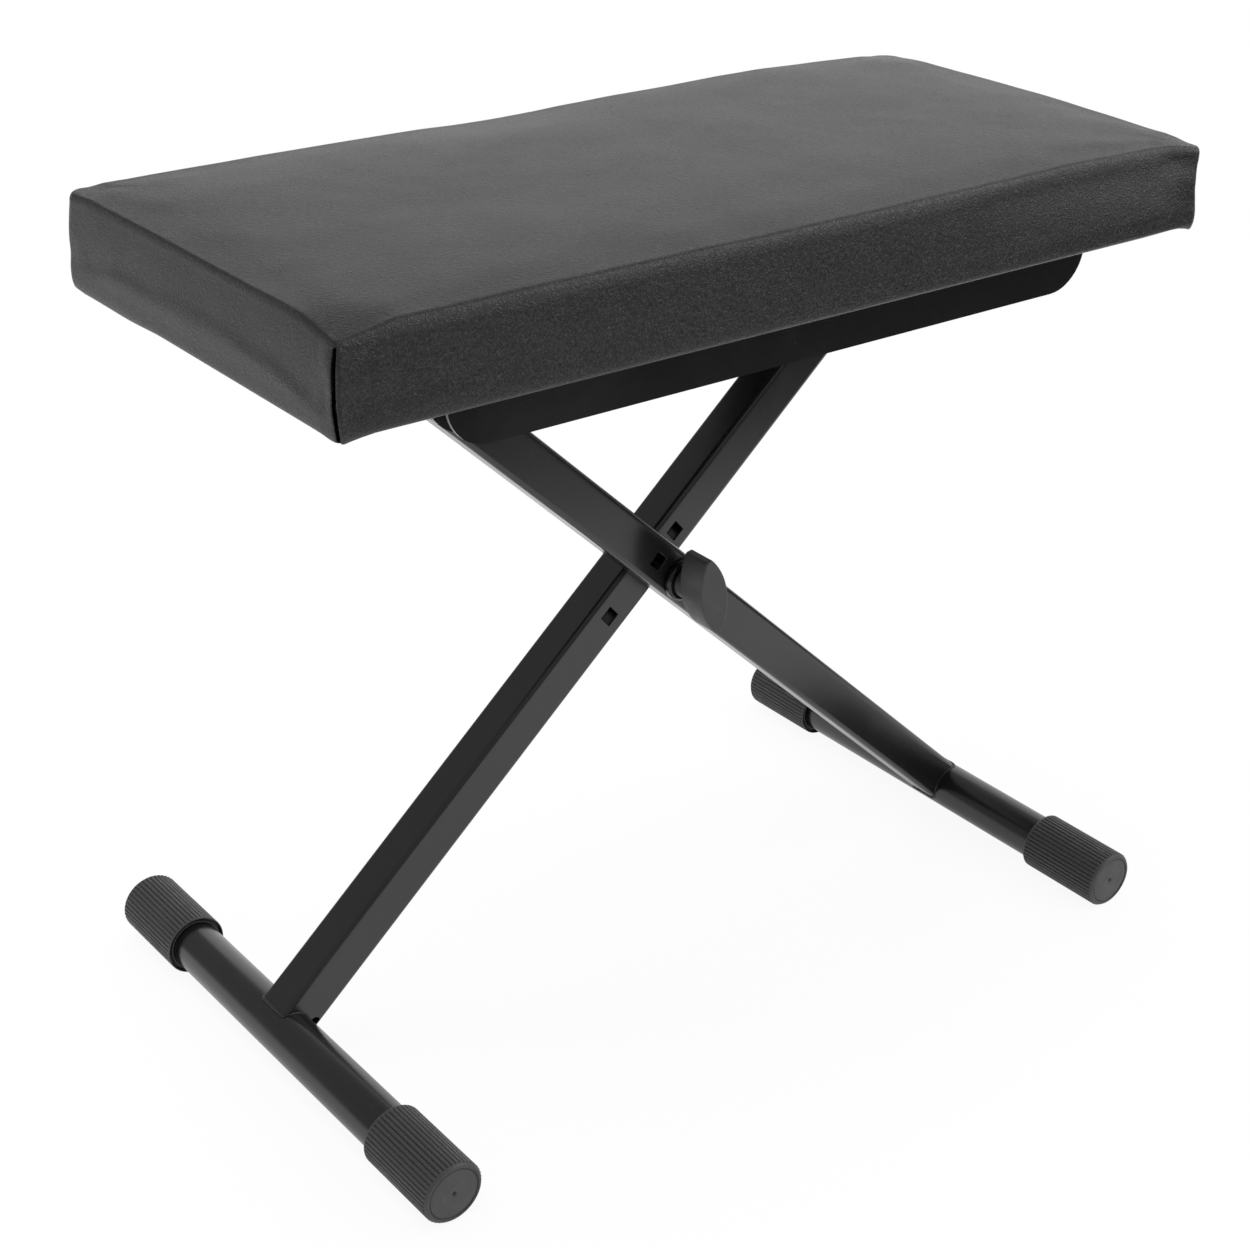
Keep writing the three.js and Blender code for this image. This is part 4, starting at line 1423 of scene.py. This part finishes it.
@dataclass
class Leg:
    """One leg: a coped rectangular tube welded between its cross tube on top and its foot bar.

    Its own frame has the pivot at the origin, the tube running down -Z and the outer side at +Y.
    """

    workshop: Workshop
    name: str
    turn: float
    width: float = 27.5
    depth: float = 25
    wall: float = 1.5
    corner: float = 3
    inner_face: float = 1.2
    top_trim: float = 5
    hole: float = 9
    holes: tuple[float, ...] = (239.0, 262.5, 304.0)
    clearance: float = 0.3
    top_radius: float = 12.5
    foot_radius: float = 15
    tube_wall: float = 1.5
    foot_shift: float = 3
    drain: float = 3.4
    rib_count: int = 44
    rib_steps: int = 10
    rib_depth: float = 0.8
    rib_width: float = 0.36
    bore: float = 4.3
    # Where the tube's broad faces get edges between those of its holes, so that its ends curve evenly
    cuts: tuple[float, ...] = (-9, -7.2, -2.2, 0, 2.2, 5.6, 6.4, 6.5, 6.7, 7.2, 8, 9, 9.8, 10.4)

    def __post_init__(self) -> None:
        """Finds the leg's frame from its pivot and its foot bar."""
        self.body = Body(f"leg_{self.name}")
        pivot = Vector(frame["joints"][0]["pos_m"]) / MM
        foot = centre_of("leg_a_foot_bar")
        drop = Vector((pivot.x - foot.x, 0, pivot.z - foot.z))
        self.length = drop.length
        self.tilt = math.atan2(drop.x, drop.z)
        self.place = (
            Matrix.Rotation(self.turn, 4, "Z") @ Matrix.Translation((pivot.x, 0, pivot.z))
            @ Matrix.Rotation(self.tilt, 4, "Y")
        )
        self.middle = self.inner_face + self.depth / 2

    def piece(
        self, blank: Blank, part: str, node: str, slot: Slot, move: Matrix | None = None, **rest: float,
    ) -> None:
        """Finishes one piece of the leg, standing for the solid of the given name.

        Args:
            blank: its shape in the leg's frame.
            part: the piece's own part of its name.
            node: the same for the solid.
            slot: its finish.
            move: where the shape goes first, if anywhere.
            rest: what Workshop.piece takes besides.
        """
        place = self.place @ move if move is not None else self.place
        self.workshop.piece(blank, f"leg_{self.name}_{part}", self.body, slot, (f"leg_{self.name}_{node}",),
                            place, **rest)

    def build(self) -> None:
        """Makes every piece of the leg."""
        self.build_tube()
        self.build_round_tubes()
        self.build_bead("top_bead", "top_weld", self.top_height)
        self.build_bead("foot_bead", "foot_weld", self.foot_height)
        for end, half in (("1", 0.0), ("2", 2 * QUARTER)):
            turned = Matrix.Rotation(half, 4, "Z")
            foot = Matrix.Translation((0, self.foot_shift, -self.length)) @ turned
            self.piece(self.cap(), f"foot_cap_{end}", f"cap_{end}", Slot.BLACK_PLASTIC, foot)
            for part, (node, slot, blank, edge) in self.pivot_parts().items():
                self.piece(blank, f"{part}_{end}", f"{node}_{end}", slot, turned, edge=edge)

    def top_height(self, across: float, reach: float) -> float:
        """Height of the cross tube's underside, a little way off it, at a place across the leg."""
        return -math.sqrt(max((self.top_radius + reach) ** 2 - across ** 2, self.top_trim ** 2))

    def foot_height(self, across: float, reach: float) -> float:
        """Height of the foot bar's upper side, a little way off it, at a place across the leg."""
        return math.sqrt(max((self.foot_radius + reach) ** 2 - across ** 2, 0)) - self.length

    def build_tube(self) -> None:
        """Makes the tube with its square holes, its ends shaped to the round tubes."""
        low, high = -self.length, -self.top_trim
        size = (self.width, self.depth, high - low)
        blank = Blank.block(size, (0, self.middle, (low + high) / 2))
        bm = blank.bm
        bmesh.ops.delete(bm, geom=[f for f in bm.faces if abs(f.normal.z) > 0.9], context="FACES_ONLY")
        upright = [e for e in bm.edges if abs(e.verts[0].co.z - e.verts[1].co.z) > self.width]
        blank.round_edges(upright, self.corner, 6)
        flat = self.width / 2 - self.corner
        half = self.hole / 2
        for place in sorted((*self.cuts, -half, half)):
            blank.slice((place, 0, 0), (1, 0, 0))
        for reach in self.holes:
            for side in (-1, 1):
                blank.slice((0, 0, -reach + side * half), (0, 0, 1))
        opened = []
        for face in bm.faces:
            centre = face.calc_center_median()
            if abs(face.normal.y) > 0.9 and abs(centre.x) < half:
                if any(abs(centre.z + reach) < half for reach in self.holes):
                    opened.append(face)
        bmesh.ops.delete(bm, geom=opened, context="FACES")
        for vert in bm.verts:
            if vert.co.z < low + 1:
                vert.co.z = self.foot_height(vert.co.x, self.clearance)
                notch = self.drain ** 2 - (vert.co.x - flat + 1) ** 2
                if vert.co.y < self.inner_face + 1 and notch > 0:
                    vert.co.z = max(vert.co.z, low + self.foot_radius - 1 + math.sqrt(notch))
            elif vert.co.z > high - 1:
                vert.co.z = min(self.top_height(vert.co.x, self.clearance), high)
        bmesh.ops.recalc_face_normals(bm, faces=bm.faces)
        solid = blank.hollowed(self.wall, sum(f.normal.x * f.calc_center_median().x for f in bm.faces))
        self.piece(solid, "coped_tube", "tube", Slot.POWDER_COAT, edge=0.35, crease=40)

    def ring(self, outer: float, inner: float, start: float, end: float, steps: int, soft: float = 0.3) -> Blank:
        """A turned ring with softened edges.

        Args:
            outer: its outer radius.
            inner: its bore's radius.
            start: where it starts along Y.
            end: where it ends.
            steps: faces round it.
            soft: how far its edges are softened.

        Returns:
            The ring.
        """
        middle = (start + end) / 2
        line = [(inner, middle), (inner, start), (outer, start), (outer, end), (inner, end), (inner, middle)]
        return Blank.turned(softened(line, soft, 3)[:-1], steps, ring=True)

    def build_round_tubes(self) -> None:
        """Makes the cross tube and the foot bar."""
        low, high = (corner.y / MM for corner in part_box("leg_a_cross_tube"))
        tube = self.ring(self.top_radius, self.top_radius - self.tube_wall, low, high, 72)
        self.piece(tube, "pivot_tube", "cross_tube", Slot.POWDER_COAT)
        low, high = (corner.y / MM - self.foot_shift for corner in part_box("leg_a_foot_bar"))
        bar = self.ring(self.foot_radius, self.foot_radius - self.tube_wall, low, high, 96)
        foot = Matrix.Translation((0, self.foot_shift, -self.length))
        self.piece(bar, "floor_bar", "foot_bar", Slot.POWDER_COAT, foot)

    def bead_line(self) -> list[Point]:
        """Evenly spaced points round the leg, just outside its faces, open where the tube has its drain.

        Returns:
            Pairs of places across the leg, in x and in y.
        """
        half_x, half_y, radius = self.width / 2 + 0.2, self.depth / 2 + 0.2, self.corner + 0.2
        line: list[Point] = []
        for centre_x, centre_y, start in ((1, 1, 0), (-1, 1, 1), (-1, -1, 2)):
            for step in range(7):
                angle = QUARTER * (start + step / 6)
                line.append((centre_x * (half_x - radius) + radius * math.cos(angle),
                             centre_y * (half_y - radius) + radius * math.sin(angle)))
        gap = self.width / 2 - self.corner - self.drain - 1
        return spread_along([(half_x, radius - half_y), *line, (gap, -half_y)], 211)

    def build_bead(self, part: str, node: str, height: Callable[[float, float], float]) -> None:
        """Makes a weld bead where the leg meets a round tube, rippled along its run.

        Args:
            part: the piece's own part of its name.
            node: the same for the solid.
            height: gives the round tube's height at a place across the leg and a reach off it.
        """
        curve = bpy.data.curves.new(part, "CURVE")
        curve.dimensions = "3D"
        curve.bevel_depth = 1
        curve.bevel_resolution = 3
        curve.use_fill_caps = True
        line = self.bead_line()
        spline = curve.splines.new("POLY")
        spline.points.add(len(line) - 1)
        for number, ((x, y), point) in enumerate(zip(line, spline.points)):
            ripple = abs(math.sin(number * math.pi / 4.5))
            wander = noise.noise(Vector((number / 9, self.turn, 3)))
            ends = smooth_step((min(number, len(line) - 1 - number) + 1) / 5)
            point.co = (x, y + self.middle, height(min(max(x, -13.4), 13.4), 0.2), 1)
            flat = smooth_step((self.width / 2 - abs(x)) / 2)
            point.radius = (0.82 + 0.16 * ripple + 0.22 * wander) * ends * (1 - 0.5 * flat)
        self.piece(Blank(used_up(linked(part, curve))).mended(), part, node, Slot.POWDER_COAT, crease=60)

    def cap(self) -> Blank:
        """A ribbed cup for the foot bar's end, with a rim and a dimple in its end face, at +Y.

        Returns:
            The cup.
        """
        end, mouth, bore, radius = 170.0, 110.0, 15.3, 19.0
        outside = [
            (bore, mouth + 1.0), (bore + 0.9, mouth + 1.0), (bore + 1.0, mouth + 3.2), (radius - 1.2, mouth + 3.0),
            (radius - 0.95, mouth), (radius - 0.35, mouth), (radius, mouth + 0.6),
            (radius, end - 1.9), (radius - 0.5, end - 1.7), (radius - 0.75, end - 1.1), (radius - 1.6, end - 0.1),
            (radius - 3.0, end), (radius - 3.2, end - 0.8), (radius - 3.7, end - 0.8), (radius - 3.9, end - 0.35),
        ]
        face = [(radius * share, end - 0.35 + 0.3 * (1 - share)) for share in (0.6, 0.4, 0.25)]
        outside += face + [(2.2, end - 0.1), (1.3, end - 0.5), (0.8, end - 1.5), (0, end - 1.7)]
        rounded = softened(outside, 0.4, 3)
        profile = [(0, end - 4), (bore, end - 4), (bore, mouth + 1.8), *rounded]
        longer: list[Point] = []
        for first, second in zip(profile, profile[1:]):
            longer.append(first)
            if first[0] > radius - 0.05 and second[1] - first[1] > 20:
                rows = (0.6, 1.2, 2.0, 3.0)
                longer += [(radius, first[1] + row) for row in rows]
                longer += [(radius, second[1] - row) for row in reversed(rows[:3])]
        longer.append(profile[-1])
        blank = Blank.turned(longer, self.rib_count * self.rib_steps)
        pitch = 4 * QUARTER / self.rib_count
        for vert in blank.bm.verts:
            away = math.hypot(vert.co.x, vert.co.z)
            if away < radius - 0.7 or vert.co.y > end - 1.75:
                continue
            angle = math.atan2(vert.co.z, vert.co.x) / pitch
            across = (angle - round(angle)) * pitch * radius
            fade = smooth_step((vert.co.y - mouth - 0.5) / 1.4)
            groove = self.rib_depth * math.exp(-(across / self.rib_width) ** 2) + 0.10 * (abs(across) < 0.75)
            scale = 1 - groove * fade / away
            vert.co.x *= scale
            vert.co.z *= scale
        return blank

    def pivot_parts(self) -> dict[str, tuple[str, Slot, Blank, float]]:
        """The plug, washers and bolt at one end of the cross tube, at +Y, each with the name of its solid.

        Returns:
            For each piece, the solid, the finish, the shape and how far its edges are rounded.
        """
        tube_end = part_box("leg_a_cross_tube")[1].y / MM
        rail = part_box("rear_rail")[0].y / MM
        washer_start = rail + 2.3
        seat = washer_start + 1.9
        head = Blank()
        bmesh.ops.create_cone(
            head.bm, cap_ends=True, cap_tris=False, segments=6, radius1=6.5 / math.cos(QUARTER / 3),
            radius2=6.5 / math.cos(QUARTER / 3), depth=5.3,
            matrix=Matrix.Translation((0, seat + 2.65, 0)) @ Matrix.Rotation(QUARTER, 4, "X"),
        )
        dome = Blank.turned([(0, seat - 1), (8, seat - 1), (8, seat + 4.4), (6.2, seat + 5.3), (0, seat + 5.3)], 64)
        bolt = head.combined(Cut.SHARED, dome)
        shank = Blank.turned([(0, seat - 24), (3.4, seat - 24), (4, seat - 23.3), (4, seat + 1), (0, seat + 1)], 48)
        plug = self.ring(10.7, self.bore, tube_end - 10, tube_end, 56)
        slip = self.ring(11.5, self.bore, tube_end + 0.3, tube_end + 1.5, 56)
        washer = self.ring(8, self.bore, washer_start, washer_start + 1.6, 56)
        return {
            "plug": ("end_plug", Slot.ZINC, plug, 0.0),
            "slip_washer": ("nylon_washer", Slot.NYLON, slip, 0.0),
            "steel_washer": ("washer", Slot.ZINC, washer, 0.0),
            "hex_bolt": ("pivot_bolt", Slot.ZINC, bolt.combined(Cut.JOINED, shank), 0.25),
        }


@dataclass
class Clamp:
    """The bolt through the crossing, its collar and the wing knob that tightens it."""

    workshop: Workshop
    leg: Leg
    bolt_reach: float = 262.5
    bolt_radius: float = 4
    bore: float = 4.3
    pitch: float = 1.25
    thread_depth: float = 0.72
    thread_steps: int = 28
    grip_length: float = 50
    grip_width: float = 20
    grip_end: float = 4.2
    grip_back: float = 38
    grip_depth: float = 19.5
    grip_tilt: float = 12
    hub: float = 9.5

    def build(self) -> None:
        """Makes every piece of the clamp."""
        crossing = Matrix.Translation((0, 0, centre_of("knob_collar").z))
        behind = self.leg.place @ Matrix.Translation((0, 0, -self.bolt_reach))
        piece, bore = self.workshop.piece, self.bore
        self.build_head(behind)
        spacer = self.leg.ring(12, bore, -0.9, 0.9, 72, 0.25)
        piece(spacer, "crossing_spacer", Body.LEG_A, Slot.NYLON, ("leg_spacer",), behind)
        piece(self.thread(), "bolt_thread", Body.LEG_B, Slot.ZINC, ("cross_bolt_thread",), crossing, crease=70)
        line = [(bore, -31.2), (11.4, -31.2), (12.8, -29.9), (12.8, -27.2), (12.1, -26.5), (bore, -26.5)]
        collar = Blank.turned(softened([(bore, -28.8), *line, (bore, -28.8)], 0.5)[:-1], 96, ring=True)
        made = piece(collar, "clamp_collar", Body.COLLAR, Slot.BLACK_PLASTIC, ("knob_collar",), crossing)
        # The collar takes the glossy plastic whose dark colour is painted shade
        made.data.materials[0] = self.workshop.finishes.shade_darkened_glossy_plastic
        self.build_knob(crossing)

    def build_head(self, place: Matrix) -> None:
        """Makes the domed head, square neck and plain shank behind the rear leg.

        Args:
            place: the bolt's place in the leg.
        """
        seat = 26.5
        dome = [(0, seat), (9.6, seat), (10, seat + 0.4), (10, seat + 1.1)]
        dome += [(10 * math.cos(a), seat + 1.1 + 3.5 * math.sin(a)) for a in (QUARTER * k / 10 for k in range(1, 11))]
        head = Blank.turned([(max(radius, 0), place) for radius, place in dome], 72)
        neck = Blank.block((8, 6, 8), (0, seat - 1, 0), 0.5)
        shank = Blank.turned([(0, 0.9), (3.5, 0.9), (4, 1.4), (4, seat), (0, seat)], 48)
        blank = head.combined(Cut.JOINED, neck, shank)
        self.workshop.piece(blank, "carriage_bolt_head", Body.BOLT, Slot.ZINC, ("cross_bolt_head",), place, edge=0.2)

    def thread(self) -> Blank:
        """A rod along Y with a thread turned round it.

        Returns:
            The rod.
        """
        start, end, steps = -50.2, -1.2, self.thread_steps
        turns = (end - start) / self.pitch - 1
        root = self.bolt_radius - self.thread_depth
        line = [(root, 0), (root, 0.16), (self.bolt_radius, 0.56), (self.bolt_radius, 0.70), (root, 1.10),
                (root, self.pitch)]
        blank = Blank()
        verts = [blank.bm.verts.new((radius, start + place, 0)) for radius, place in line]
        edges = [blank.bm.edges.new(pair) for pair in zip(verts, verts[1:])]
        bmesh.ops.spin(
            blank.bm, geom=verts + edges, cent=(0, 0, 0), axis=(0, 1, 0), dvec=(0, self.pitch / steps, 0),
            angle=4 * QUARTER * turns, steps=round(steps * turns), use_merge=False,
        )
        bmesh.ops.remove_doubles(blank.bm, verts=blank.bm.verts, dist=0.002)
        rim = [edge for edge in blank.bm.edges if edge.is_boundary]
        bmesh.ops.holes_fill(blank.bm, edges=rim, sides=0)
        bmesh.ops.recalc_face_normals(blank.bm, faces=blank.bm.faces)
        return blank

    def build_knob(self, crossing: Matrix) -> None:
        """Makes the grip and hub as one moulded piece, and its threaded insert.

        Args:
            crossing: the crossing's place.
        """
        half = self.grip_length / 2
        bulge = (self.grip_width - self.grip_end) / 2
        radius = (half * half + bulge * bulge) / (2 * bulge)
        offset = radius - self.grip_width / 2
        sweep = math.asin(half / radius)
        grip = Blank()
        ends = []
        for side in (-1, 1):
            start = Vector((side * (radius * math.cos(sweep) - offset), 0, side * half))
            vert = grip.bm.verts.new(start)
            spun = bmesh.ops.spin(
                grip.bm, geom=[vert], cent=(-side * offset, 0, 0), axis=(0, 1, 0), dvec=(0, 0, 0),
                angle=2 * sweep, steps=28, use_merge=False,
            )
            ends.append((vert, next(v for v in spun["geom_last"] if isinstance(v, bmesh.types.BMVert))))
        grip.bm.edges.new((ends[0][1], ends[1][0]))
        grip.bm.edges.new((ends[1][1], ends[0][0]))
        bmesh.ops.contextual_create(grip.bm, geom=grip.bm.edges[:])
        front = bmesh.ops.extrude_face_region(grip.bm, geom=grip.bm.faces[:])
        moved = [v for v in front["geom"] if isinstance(v, bmesh.types.BMVert)]
        bmesh.ops.translate(grip.bm, verts=moved, vec=(0, -self.grip_depth, 0))
        grip.mended()
        sharp = [e for e in grip.bm.edges if e.calc_face_angle(0) > math.radians(35)]
        grip.round_edges(sharp, 0.9, 3)
        tilted = Matrix.Rotation(-math.radians(self.grip_tilt), 4, "Y")
        grip.move(Matrix.Translation((0, -self.grip_back, 0)) @ tilted)
        hub = Blank.turned(softened([(0, -46), (self.hub, -46), (self.hub, -31.5), (0, -31.5)], 0.8), 96)
        pocket, bore = Blank.rod(6.3, -45.8, -30, 64), Blank.rod(self.bore, -52.2, -30, 48)
        solid = grip.combined(Cut.JOINED, hub).combined(Cut.LESS, pocket, bore)
        form = solid.as_object("knob_form")
        remesh = form.modifiers.new("moulding", "REMESH")
        remesh.mode = "VOXEL"
        remesh.voxel_size = 0.36
        soften = form.modifiers.new("soften", "SMOOTH")
        soften.factor = 0.5
        soften.iterations = 2
        blank = Blank(used_up(form))
        self.workshop.piece(blank, "wing_knob", Body.KNOB, Slot.BLACK_PLASTIC, ("knob",), crossing, crease=70)
        insert = self.leg.ring(6, self.bore, -45.5, -31.5, 64)
        self.workshop.piece(insert, "threaded_insert", Body.KNOB, Slot.ZINC, ("knob_insert",), crossing)


# Studio


@dataclass(frozen=True)
class Lamp:
    """A soft oblong lamp that faces a point. The camera doesn't see it, and mirrors do if it is shown."""

    name: str
    place: Triple
    target: Triple
    size: Point
    power: float
    shown: bool = True

    def build(self) -> None:
        """Adds the lamp."""
        data = bpy.data.lights.new(self.name, "AREA")
        data.shape = "RECTANGLE"
        data.size, data.size_y = self.size
        data.energy = self.power
        lamp = linked(self.name, data)
        lamp.location = self.place
        lamp.rotation_euler = (Vector(self.target) - Vector(self.place)).to_track_quat("-Z", "Y").to_euler()
        lamp.visible_camera = False
        lamp.visible_glossy = self.shown


@dataclass
class Studio:
    """A white floor and surroundings, soft lamps and the camera, all in metres."""

    lamps: tuple[Lamp, ...] = (
        Lamp("rear_panel", (1.15, 1.05, 0.72), (0, 0, 0.6), (2.4, 1.4), 9.0),
        Lamp("right_strip", (1.45, -1.25, 1.40), (0, -0.1, 0.45), (2.2, 1.3), 21),
        Lamp("overhead", (-0.3, 0.3, 2.2), (0, 0, 0.3), (1.8, 1.8), 40, shown=False),
    )
    camera_place: Triple = (-0.785992, -0.934406, 0.840692)
    yaw: float = -39.353
    pitch: float = -27.25
    roll: float = 2.039
    lens: float = 64.94
    # The world's strength as light, and as what a surface mirrors
    fill: float = 0.384
    mirrored: float = 0.336
    # The floor: its tone and own glow, where it turns dark in mirrors, how white it is there before that, and the
    # distances at which the camera sees it nearly and fully white
    floor_tone: float = 0.88
    floor_glow: float = 0.1
    dark_reach: Point = (0.55, 0.95)
    dark_turn: float = 0.45
    floor_shine: float = 0.6
    white_reach: Point = (0.5, 1.3)
    white_share: Point = (0.92, 1.0)

    def build(self) -> None:
        """Makes the floor, the world, the lamps and the camera."""
        self.build_floor()
        self.build_world()
        for lamp in self.lamps:
            lamp.build()
        self.build_camera()
        bpy.context.scene.view_settings.view_transform = "Standard"

    def build_floor(self) -> None:
        """Makes a wide white floor that keeps the bench's shadow and darkens only in mirrors, far in front."""
        blank = Blank()
        bmesh.ops.create_grid(blank.bm, x_segments=1, y_segments=1, size=12)
        floor = blank.as_object("studio_floor")
        graph = NodeGraph("studio_floor")
        tone = self.floor_tone
        material = graph.shade(Base_Color=(tone, tone, tone, 1), Roughness=0.9, Specular_IOR_Level=0.1)
        split = graph.node("ShaderNodeSeparateXYZ", {0: graph.place})
        ahead = graph.sum(graph.sum(split.outputs[0], self.dark_turn, "MULTIPLY"), split.outputs[1], "SUBTRACT")
        away = graph.node("ShaderNodeVectorMath", {0: graph.place}, operation="LENGTH").outputs["Value"]
        path = graph.node("ShaderNodeLightPath", {})
        camera, glossy = path.outputs["Is Camera Ray"], path.outputs["Is Glossy Ray"]
        white = graph.node("ShaderNodeEmission", {"Strength": 1.0}).outputs[0]
        black = graph.node("ShaderNodeBsdfDiffuse", {"Color": (0.05, 0.05, 0.05, 1)}).outputs[0]
        glow = graph.sum(graph.sum(camera, glossy), self.floor_glow, "MULTIPLY")
        lift = graph.node("ShaderNodeEmission", {"Strength": glow})
        raised = graph.node("ShaderNodeAddShader", {0: graph.shader.outputs[0], 1: lift.outputs[0]}).outputs[0]
        hidden = graph.sum(graph.remap(ahead, *self.dark_reach), glossy, "MULTIPLY")
        mirrored = graph.node("ShaderNodeMixShader", {0: hidden, 1: raised, 2: black}).outputs[0]
        shine = graph.sum(graph.sum(glossy, hidden, "SUBTRACT"), self.floor_shine, "MULTIPLY")
        seen = graph.remap(away, *self.white_reach, *self.white_share)
        clear = graph.sum(graph.sum(seen, camera, "MULTIPLY"), shine)
        total = graph.node("ShaderNodeMixShader", {0: clear, 1: mirrored, 2: white})
        output = next(n for n in graph.tree.nodes if n.type == "OUTPUT_MATERIAL")
        graph.tree.links.new(total.outputs[0], output.inputs["Surface"])
        floor.data.materials.append(material)

    def build_world(self) -> None:
        """Lights from all round, a little weaker in mirrors, and white where the camera sees it."""
        world = bpy.data.worlds.new("studio")
        bpy.context.scene.world = world
        world.use_nodes = True
        nodes, links = world.node_tree.nodes, world.node_tree.links
        nodes.clear()
        path = nodes.new("ShaderNodeLightPath")
        seen = nodes.new("ShaderNodeMix")
        seen.inputs["A"].default_value = self.fill
        seen.inputs["B"].default_value = self.mirrored
        direct = nodes.new("ShaderNodeMath")
        direct.operation = "MAXIMUM"
        clear = nodes.new("ShaderNodeMix")
        clear.inputs["B"].default_value = 1.0
        background = nodes.new("ShaderNodeBackground")
        background.inputs["Color"].default_value = (1, 1, 1, 1)
        output = nodes.new("ShaderNodeOutputWorld")
        links.new(path.outputs["Is Glossy Ray"], seen.inputs["Factor"])
        links.new(path.outputs["Is Camera Ray"], direct.inputs[0])
        links.new(path.outputs["Is Transmission Ray"], direct.inputs[1])
        links.new(direct.outputs[0], clear.inputs["Factor"])
        links.new(seen.outputs[0], clear.inputs["A"])
        links.new(clear.outputs[0], background.inputs["Strength"])
        links.new(background.outputs[0], output.inputs["Surface"])

    def build_camera(self) -> None:
        """Places the camera where the photograph was taken from."""
        yaw, pitch, roll = (math.radians(angle) for angle in (self.yaw, self.pitch, self.roll))
        forward = Vector((-math.sin(yaw) * math.cos(pitch), math.cos(yaw) * math.cos(pitch), math.sin(pitch)))
        right = forward.cross(Vector((0, 0, 1))).normalized()
        up = right.cross(forward)
        right, up = right * math.cos(roll) + up * math.sin(roll), up * math.cos(roll) - right * math.sin(roll)
        data = bpy.data.cameras.new("photo_camera")
        data.sensor_width = 36
        data.lens = self.lens
        data.clip_end = 100
        camera = linked("photo_camera", data)
        turned = Matrix((right, up, -forward)).transposed().to_4x4()
        camera.matrix_world = Matrix.Translation(self.camera_place) @ turned
        bpy.context.scene.camera = camera


def main() -> None:
    """Builds the studio, then the bench piece by piece."""
    logging.basicConfig(level=logging.INFO, format="%(name)s: %(message)s")
    workshop = Workshop(Finishes())
    Studio().build()
    Cushion(workshop).build()
    Underside(workshop).build()
    Rails(workshop).build()
    legs = {name: Leg(workshop, name, turn) for name, turn in (("a", 0.0), ("b", 2 * QUARTER))}
    for leg in legs.values():
        leg.build()
    Clamp(workshop, legs["a"]).build()


if __name__ == "__main__":
    main()
